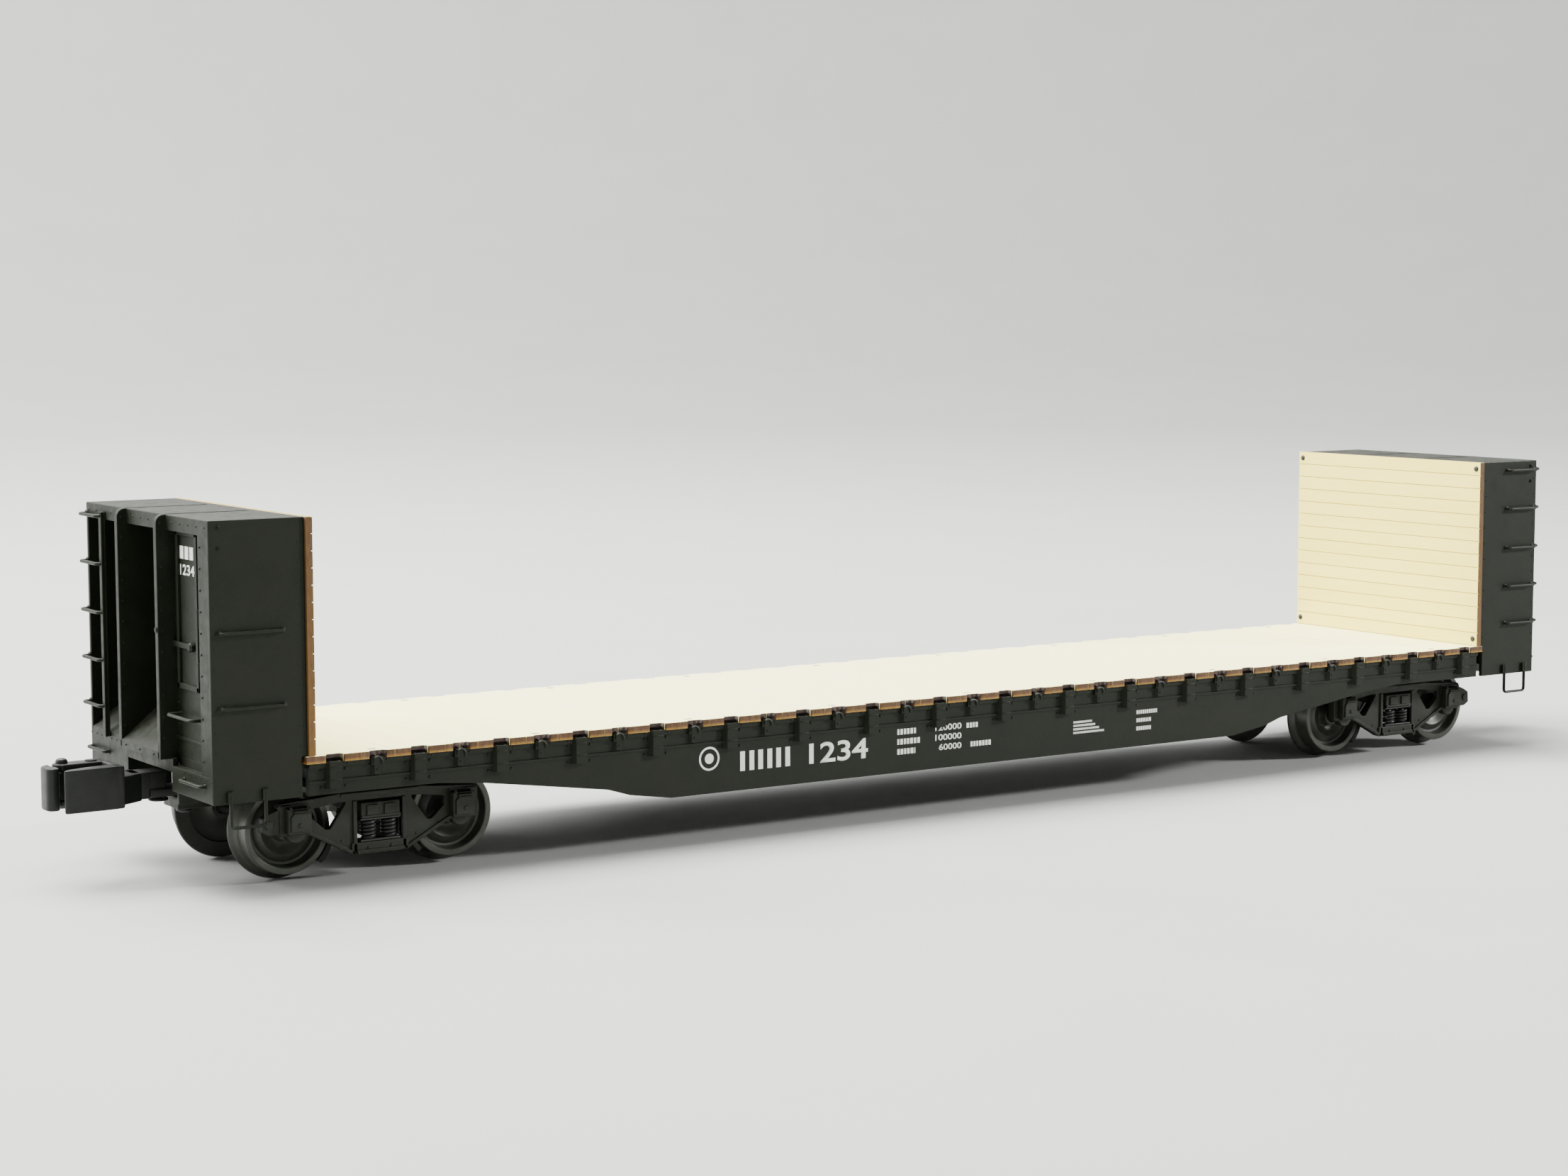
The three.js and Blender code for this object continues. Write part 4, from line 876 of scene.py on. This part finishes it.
# ---- trucks
def add_journal(f, side, s):
    """Axle box at one end of a side frame, with its boss, lid, lid hinge and bolts."""
    boss = [(0, 0.2), (1.0, 0.2), (1.3, 0), (2.1, 0), (2.3, 0.2), (2.3, 2.0), (2.1, 2.2), (0, 2.2)]
    f.lathe(boss, (s * HALF_WHEELBASE, side * FRAME_INNER, AXLE_Z), (0, side, 0), 28)
    f.box(span(s, 16.2, 21.5), span(side, 24.0, 26.0), (10.9, 16.4), 0.4)
    lid = [(16.75, 11.5), (20.95, 11.5), (20.95, 14.6), (20.3, 15.4), (17.4, 15.4), (16.75, 14.6)]
    f.prism([(s * x, z) for x, z in lid], 1, *span(side, 25.8, 26.4), 0.2)
    hinge_y, hinge_z = side * 26.15, 15.7
    f.tube([(s * 17.3, hinge_y, hinge_z), (s * 20.4, hinge_y, hinge_z)], 0.34, 12)
    f.rivet((s * HALF_WHEELBASE, side * 26.4, 12.9), (0, side, 0), 0.5, 0.3)
    for x in (17.0, 20.7):
        f.bolt((s * x, side * 25.6, 16.4), (0, 0, 1), 0.36, 0.26)


def make_side_frame(end, hand):
    """Cast truss: an arched top chord, slanting arms to a spring seat, and raised ribs along the edges."""
    side = HAND_SIDE[hand]
    f = Solid(truck_place(end))
    web, full = span(side, FRAME_INNER + 0.35, FRAME_OUTER - 0.45), span(side, FRAME_INNER, FRAME_OUTER)
    facing = span(side, FRAME_OUTER, FRAME_OUTER + 0.4)
    chord = [(-23, 15.4), (-15.2, 15.5), (-9.4, 16.3), (9.4, 16.3), (15.2, 15.5), (23, 15.4), (23, 16.6),
             (22.4, 17.3), (13, 17.9), (9, 18.3), (-9, 18.3), (-13, 17.9), (-22.4, 17.3), (-23, 16.6)]
    f.prism(chord, 1, *web, 0.2)
    rib = [(-23, 16.7), (-22.4, 16.6), (-13, 17.2), (-9, 17.6), (9, 17.6), (13, 17.2), (22.4, 16.6),
           (23, 16.7), (22.4, 17.3), (13, 17.9), (9, 18.3), (-9, 18.3), (-13, 17.9), (-22.4, 17.3)]
    f.prism(rib, 1, *full, 0.16)
    f.box((-9.0, 9.0), facing, (17.4, 18.2), 0.15)
    arm = [(5.2, 16.6), (7.6, 16.6), (7.75, 15.8), (11.2, 10.9), (12.2, 10.9), (15.2, 13.6), (15.2, 15.9),
           (16.6, 16.2), (16.6, 10.4), (16.2, 10.4), (14.8, 9.6), (8.2, 6.1), (6.4, 5.1), (5.2, 5.1)]
    edge = [(5.6, 5.1), (6.4, 5.1), (8.2, 6.1), (14.8, 9.6), (16.4, 10.4), (16.2, 11.2), (14.6, 10.4),
            (8.0, 6.9), (6.2, 5.9), (5.6, 5.9)]
    post = [(5.2, 5.6), (6.1, 5.6), (6.1, 16.4), (5.2, 16.4)]
    plate = [(16.2, 10.4), (22.4, 10.4), (23.0, 11.0), (23.0, 16.6), (22.4, 17.3), (16.2, 17.4)]
    shapes = ((arm, web, 0.2), (edge, full, 0.15), (post, full, 0.15), (plate, full, 0.22))
    for s in (1, -1):
        for outline, depth, bevel in shapes:
            f.prism([(s * x, z) for x, z in outline], 1, *depth, bevel)
        add_journal(f, side, s)
        f.rivet((s * 2.6, side * FRAME_OUTER, 6.3), (0, side, 0), 0.42, 0.25)
        f.rivet((s * 8.6, side * 23.75, 8.2), (0, side, 0), 0.3, 0.2)
    f.box((-6.6, 6.6), full, (5.1, 7.55), 0.25)
    f.box((-5.4, 5.4), facing, (5.1, 6.0), 0.15)
    lug = [(22.4, 16.4), (24.8, 15.5), (26.4, 14.6), (26.6, 11.8), (25.0, 10.9), (22.4, 10.9)]
    f.prism(lug, 1, *full, 0.25)
    f.lathe([(0, 0), (0.9, 0), (0.8, 0.3), (0, 0.35)], (25.0, side * FRAME_OUTER, 13.2), (0, side, 0), 16)
    name = f"side_frame_{end}_{hand}"
    f.show(f"{name}_casting", f"truck_{end}", TRUCK_PAINT, "truck_paint", [name])


def make_springs(end, hand):
    """Two wound springs, each with a smaller one inside it, between an upper and a lower seat."""
    springs = Solid(truck_place(end))
    y = HAND_SIDE[hand] * 23.1
    bottom, top, seat, steps_per_turn = 7.65, 12.55, 0.45, 16
    for low, high in ((bottom, bottom + seat), (top - seat, top)):
        springs.box((-4.6, 4.6), (y - 1.35, y + 1.35), (low, high), 0.12)
    for radius, wire, turns in ((1.32, 0.36, 4.5), (0.6, 0.2, 6.5)):
        low, high = bottom + seat + wire * 0.8, top - seat - wire * 0.8
        steps = int(turns * steps_per_turn)
        for x in (2.35, -2.35):
            angles = [2 * math.pi * turns * k / steps for k in range(steps + 1)]
            path = [(x + radius * math.cos(a), y + radius * math.sin(a), low + (high - low) * k / steps)
                    for k, a in enumerate(angles)]
            springs.tube(path, wire, 8)
    name = f"spring_group_{end}_{hand}"
    springs.show(f"{name}_coils", f"truck_{end}", STEEL_DARK, "steel", [name])


def add_brake_shoe(b, side, s):
    """Curved shoe just clear of a wheel's tread, and the hanger that carries it from the bolster."""
    wheel_x, inner_radius, outer_radius = s * HALF_WHEELBASE, 9.95, 11.1
    arc = [math.radians(a) for a in (190, 199, 208, 217, 226)]
    inner = [(wheel_x + s * inner_radius * math.cos(a), AXLE_Z + inner_radius * math.sin(a)) for a in arc]
    outer = [(wheel_x + s * outer_radius * math.cos(a), AXLE_Z + outer_radius * math.sin(a)) for a in arc]
    b.prism(inner + outer[::-1], 1, *span(side, 16.4, 19.4), 0.15)
    hanger = [(3.2, 13.3), (4.5, 13.3), (8.9, 8.6), (8.6, 6.6), (7.6, 7.4)]
    b.prism([(s * x, z) for x, z in hanger], 1, *span(side, 17.3, 18.5), 0.15)
    b.rivet((s * 8.2, side * 18.5, 7.7), (0, side, 0), 0.45, 0.3)


def make_bolster(end):
    """Bolster with its side bearings and end lugs, the coupler's arm, and the brake shoes."""
    b = Solid(truck_place(end))
    outline = [(-24.6, 12.6), (-24.6, 15.9), (-19.0, 16.6), (-9.0, 19.9), (9.0, 19.9), (19.0, 16.6),
               (24.6, 15.9), (24.6, 12.6), (9.0, 13.4), (-9.0, 13.4)]
    b.prism(outline, 0, -4.5, 4.5, 0.35)
    arm_low, arm_high = 14.6, 17.2
    b.box((3.6, 36.4), (-4.0, 4.0), (arm_low, arm_high), 0.3)
    root = [(3.6, -6.5), (9.5, -6.5), (12.5, -4.0), (12.5, 4.0), (9.5, 6.5), (3.6, 6.5)]
    b.prism(root, 2, arm_low, arm_high, 0.3)
    for side in (1, -1):
        for lug in ((-3.3, -0.7), (0.7, 3.3)):
            b.box(lug, span(side, 24.4, 25.0), (13.2, 15.4), 0.18)
        b.box((-4.5, 4.5), span(side, 24.5, 24.85), (12.65, 13.15), 0.1)
        bearing = [(0, -0.3), (1.7, -0.3), (1.7, 0.4), (1.4, 0.6), (0, 0.6)]
        b.lathe(bearing, (0, side * 15.5, 18.0), (0, side * 0.3, 1), 20)
        for s in (1, -1):
            add_brake_shoe(b, side, s)
    for x in (19.0, 28.0):
        b.rivet((x, 0, arm_low), (0, 0, -1), 0.7, 0.3)
    b.show(f"bolster_casting_{end}", f"truck_{end}", TRUCK_PAINT, "truck_paint", [f"truck_bolster_{end}"])


# Radius and distance from the middle of the car, round the wheel's section and along the axle.
WHEEL_PROFILE = [
    (1.62, 13.65), (1.62, 19.35), (1.75, 19.42), (2.15, 19.42), (2.35, 19.3), (2.45, 18.9), (2.6, 17.9),
    (2.95, 17.45), (3.6, 17.55), (4.7, 18.3), (5.5, 18.7), (6.4, 18.35), (7.1, 17.7), (7.6, 17.8),
    (8.0, 18.7), (8.12, 19.65), (8.3, 19.8), (9.3, 19.8), (9.47, 19.65), (9.5, 15.9), (9.7, 15.5),
    (10.2, 15.15), (10.8, 14.85), (11.06, 14.5), (11.08, 14.25), (10.9, 13.95), (10.6, 13.9), (7.8, 13.9),
    (7.6, 14.3), (6.0, 14.8), (4.0, 14.5), (2.9, 13.9), (2.6, 13.65),
]
AXLE_PROFILE = [
    (0, -23.0), (0.5, -22.95), (0.88, -22.6), (0.9, -20.7), (1.1, -20.5), (1.5, -20.4), (1.5, -14.0),
    (1.35, -12.5), (1.25, -8.0), (1.25, 8.0), (1.35, 12.5), (1.5, 14.0), (1.5, 20.4), (1.1, 20.5),
    (0.9, 20.7), (0.88, 22.6), (0.5, 22.95), (0, 23.0),
]
RIM_INNER_RADIUS, FLANGE_FOOT_Y = 8.1, 15.3


def make_wheelset(end, place):
    x = HALF_WHEELBASE if place == "outer" else -HALF_WHEELBASE
    centre_x = (truck_place(end) @ Vector((x, 0, 0))).x
    body = f"wheelset_{end}_{place}"
    axle = Solid(truck_place(end))
    axle.lathe(AXLE_PROFILE, (x, 0, AXLE_Z), (0, 1, 0), 32)
    axle.show(f"axle_{end}_{place}_bar", body, STEEL_DARK, "steel", [f"axle_{end}_{place}"])
    for hand, side in HAND_SIDE.items():
        wheel = Solid(truck_place(end))
        wheel.lathe(WHEEL_PROFILE, (x, 0, AXLE_Z), (0, side, 0), 96, ring=True)
        name = f"wheel_{end}_{place}_{hand}"
        mesh = wheel.mesh(f"{name}_turned")
        for face in mesh.polygons:
            centre = face.center / MM
            radius = math.hypot(centre.x - centre_x, centre.z - AXLE_Z)
            if radius > RIM_INNER_RADIUS and abs(centre.y) > FLANGE_FOOT_Y:
                face.material_index = 1
        show(f"{name}_turned", mesh, body, [WHEEL_METAL, TREAD_METAL], [name])


# ---- couplers
KNUCKLE_PIVOT = (58.3, -3.9)
HEAD_BOTTOM, HEAD_TOP, EAR = 16.4, 25.3, 1.3
SHANK_TOP = 22.9


def make_coupler_head(end):
    """Shank, head with its guard arm, the two ears that hold the knuckle's pin, and the pivot screw."""
    px, py = KNUCKLE_PIVOT
    c = Solid(truck_place(end))
    c.box((28.0, 42.0), (-3.4, 3.4), (17.5, 19.2), 0.3)
    c.box((41.2, 46.0), (-2.6, 2.6), (17.2, SHANK_TOP), 0.5)
    c.box((38.0, 42.0), (-2.6, 2.6), (17.5, SHANK_TOP), 0.5)
    c.prism([(43.5, -2.6), (48.8, -5.6), (48.8, 5.6), (43.5, 2.6)], 2, 16.9, SHANK_TOP, 0.45)
    c.box((48.5, 50.5), (-6.0, 6.2), (HEAD_BOTTOM, HEAD_TOP), 0.45)
    c.box((50.1, 52.7), (-5.6, 2.2), (HEAD_BOTTOM + EAR, HEAD_TOP - EAR), 0.5)
    guard = [(49.5, 6.2), (49.5, 2.6), (55.5, 3.4), (59.5, 4.6), (61.2, 5.6), (61.4, 6.2),
             (60.8, 6.6), (53.5, 6.4)]
    c.prism(guard, 2, HEAD_BOTTOM, HEAD_TOP, 0.4)
    ear = [(49.5, -6.0), (px, -6.0), (px + 1.1, -5.7), (px + 1.7, -5.0), (px + 1.95, py), (px + 1.5, -2.7),
           (px + 0.5, -1.8), (49.5, -1.8)]
    for low in (HEAD_TOP - EAR, HEAD_BOTTOM):
        c.prism(ear, 2, low, low + EAR, 0.35)
    pin_head = [(0, 0), (1.25, 0), (1.25, 0.7), (1.05, 1.05), (0.6, 1.25), (0, 1.3)]
    screw_head = [(0, 0), (1.9, 0), (1.7, -0.7), (1.0, -1.0), (0, -1.0)]
    for profile, place, sides in (
        ([(0, 0), (0.98, 0), (0.98, 9.2), (0, 9.2)], (px, py, HEAD_BOTTOM - 0.4), 20),
        (pin_head, (px, py, HEAD_TOP - 0.2), 24),
        ([(0, 0), (1.2, 0), (1.2, 0.35), (0, 0.5)], (52.0, -3.9, HEAD_TOP - 0.1), 20),
        (screw_head, (33.4, 0, 14.4), 20),
        ([(0, 0), (1.0, 0), (1.0, 3.8), (0, 3.8)], (33.4, 0, 14.0), 16),
    ):
        c.lathe(profile, place, (0, 0, 1), sides)
    for z in (18.6, 21.6):
        c.rivet((46.7, -4.3, z), (-0.5, -0.86, 0), 0.4, 0.25)
    node = f"coupler_head_{end}"
    c.show(f"coupler_casting_{end}", f"truck_{end}", COUPLER_METAL, "coupler_metal", [node])


def make_knuckle(end):
    """Tang between the ears, and the upright nose that hooks the next coupler."""
    px, py = KNUCKLE_PIVOT
    k = Solid(truck_place(end))
    tang = [(-2.0, -0.6), (-1.9, -1.2), (-1.2, -1.8), (1.4, -1.9), (3.2, -1.4), (3.6, 2.8), (2.6, 3.4),
            (0.6, 2.0), (-1.6, 1.4)]
    nose = [(2.2, -1.4), (3.2, -1.2), (4.0, -0.6), (4.55, 0.3), (4.8, 1.6), (4.8, 3.8), (4.55, 4.7),
            (3.8, 5.2), (2.6, 5.2), (2.1, 4.6), (1.95, 3.4), (2.3, 1.6), (2.5, 0)]
    k.prism([(px + x, py + y) for x, y in tang], 2, HEAD_BOTTOM + EAR + 0.3, HEAD_TOP - EAR - 0.3, 0.3)
    k.prism([(px + x, py + y) for x, y in nose], 2, HEAD_BOTTOM - 0.1, HEAD_TOP - 0.2, 0.35)
    k.show(f"knuckle_casting_{end}", f"knuckle_{end}", COUPLER_METAL, "coupler_metal", [f"knuckle_{end}"])


def make_release_pin(end):
    r = Solid(truck_place(end))
    pin = [(0, 0), (1.7, 0), (2.05, 0.15), (2.1, 0.4), (1.9, 0.65), (0.8, 0.72), (0.78, 3.7),
           (0.6, 3.9), (0, 3.9)]
    r.lathe(pin, (39.1, 0, 16.3), (0, 0, 1), 32)
    r.show(f"release_pin_{end}_turned", f"release_{end}", STEEL_DARK, "steel", [f"release_pin_{end}"])


# ---- painted marks
MARK_BACK, MARK_FACE = -0.02, 0.03


def drawn_digits(text, x, y, height, width, place):
    """Digits as a closed mesh of a given width and height, with their lower left corner at x and y."""
    curve = bpy.data.curves.new("digits", "FONT")
    curve.body, curve.size, curve.extrude, curve.offset = text, 1.0, 0.0, 0.018
    holder = new_object("digits", curve)
    drawn = finished_mesh(holder)
    bpy.data.objects.remove(holder)
    low = [min(v.co[i] for v in drawn.vertices) for i in (0, 1)]
    high = [max(v.co[i] for v in drawn.vertices) for i in (0, 1)]
    fit = Matrix.Diagonal((width / (high[0] - low[0]), height / (high[1] - low[1]), 1, 1))
    fit = place @ Matrix.Translation((x, y, MARK_FACE)) @ fit @ Matrix.Translation((-low[0], -low[1], 0))
    drawn.transform(Matrix.Scale(MM, 4) @ fit)
    part = bmesh.new()
    part.from_mesh(drawn)
    sheet = bmesh.ops.extrude_face_region(part, geom=part.faces[:])
    down = (place.to_3x3() @ Vector((0, 0, MARK_BACK - MARK_FACE))) * MM
    moved = [item for item in sheet["geom"] if isinstance(item, bmesh.types.BMVert)]
    bmesh.ops.translate(part, vec=down, verts=moved)
    bmesh.ops.recalc_face_normals(part, faces=part.faces)
    part.to_mesh(drawn)
    part.free()
    return drawn


def flat_marks(name, place, blocks, digits):
    """White paint on a face, drawn in X and Y and facing +Z: small blocks, and plain digits."""
    marks = Solid(place)
    for x0, x1, y0, y1 in blocks:
        marks.box((x0, x1), (y0, y1), (MARK_BACK, MARK_FACE), 0)
    mesh = marks.mesh(name)
    bm = bmesh.new()
    bm.from_mesh(mesh)
    for row in digits:
        bm.from_mesh(drawn_digits(*row, place))
    bm.to_mesh(mesh)
    bm.free()
    for face in mesh.polygons:
        face.material_index = 0
    show(name, mesh, "car", [MARK_PAINT])


def word(draw, x0, x1, y, height):
    """A row of upright blocks from x0 to x1, as wide as letters would be."""
    blocks = []
    x = x0
    while x < x1 - 0.2 * height:
        wide = height * draw.uniform(0.4, 0.62)
        blocks.append((x, min(x + wide, x1), y, y + height))
        x += wide + height * 0.22
    return blocks


def ring_mark(name, place, x, y):
    """Plain ring with a dot in it."""
    ring = Solid(place)
    for inner, outer, steps in ((2.2, 2.65, 48), (0, 1.15, 32)):
        section = [(inner, MARK_BACK), (outer, MARK_BACK), (outer, MARK_FACE), (inner, MARK_FACE)]
        ring.lathe(section, (x, y, 0), (0, 0, 1), steps, ring=inner > 0)
    ring.show(name, "car", MARK_PAINT, "car_paint")


def make_side_marks(name, turn):
    """One side's ring, bars, number and rows of small blocks."""
    draw = Random(3)
    place = turn @ Matrix.Translation((0, -WEB_FACE, 0)) @ Matrix.Rotation(math.pi / 2, 4, "X")
    rows = (20.2, 17.9, 15.6)
    blocks = [(left, left + 1.25, 15.7, 20.1) for left in (-64.1, -61.65, -59.3, -56.85, -54.5, -52.05)]
    for y, last in zip(rows, (-15.8, -14.4, -16.0)):
        blocks += word(draw, -21.1, last, y, 1.3)
    blocks += word(draw, -1.2, 2.6, 20.2, 1.2) + word(draw, 0.0, 6.4, 15.7, 1.2)
    for i, last in enumerate((36.6, 37.6, 38.8, 40.4)):
        blocks += word(draw, 30.9, last, 18.6 - i * 0.85, 0.5)
    for i, last in enumerate((57.4, 55.4, 55.4)):
        blocks += word(draw, 50.6, last, 19.3 - i * 2.0, 0.95)
    digits = [("1234", -45.6, 15.6, 4.7, 16.2)]
    loads = (("120000", -10.3, 7.6), ("100000", -10.3, 7.6), ("60000", -9.2, 6.5))
    digits += [(text, x, y, 1.45, width) for y, (text, x, width) in zip(rows, loads)]
    flat_marks(f"side_marks_{name}", place, blocks, digits)
    ring_mark(f"ring_mark_{name}", place, -72.2, 19.2)


def make_end_marks(end):
    facing = Matrix.Translation((PANEL_FACE, 0, 0))
    facing = facing @ Matrix.Rotation(math.pi / 2, 4, "Z") @ Matrix.Rotation(math.pi / 2, 4, "X")
    blocks = [(left, left + 1.9, 68.0, 70.6) for left in (14.4, 16.9, 19.4)]
    flat_marks(f"end_marks_{end}", TURN[end] @ facing, blocks, [("1234", 14.4, 64.7, 2.2, 7.4)])


make_deck()
make_side_details()
make_floor_bolts()
make_brake_housing()
make_brake_wheel()
make_brake_gear()
for end in TURN:
    make_lining(end)
    make_bulkhead(end)
    make_ladder(end)
    make_side_wires(end)
    make_steps(end)
    make_bolster(end)
    for hand in HAND_SIDE:
        make_side_frame(end, hand)
        make_springs(end, hand)
    for place in ("outer", "inner"):
        make_wheelset(end, place)
    make_coupler_head(end)
    make_knuckle(end)
    make_release_pin(end)
make_side_marks("near", Matrix())
make_side_marks("far", HALF_TURN)
for end in TURN:
    make_end_marks(end)
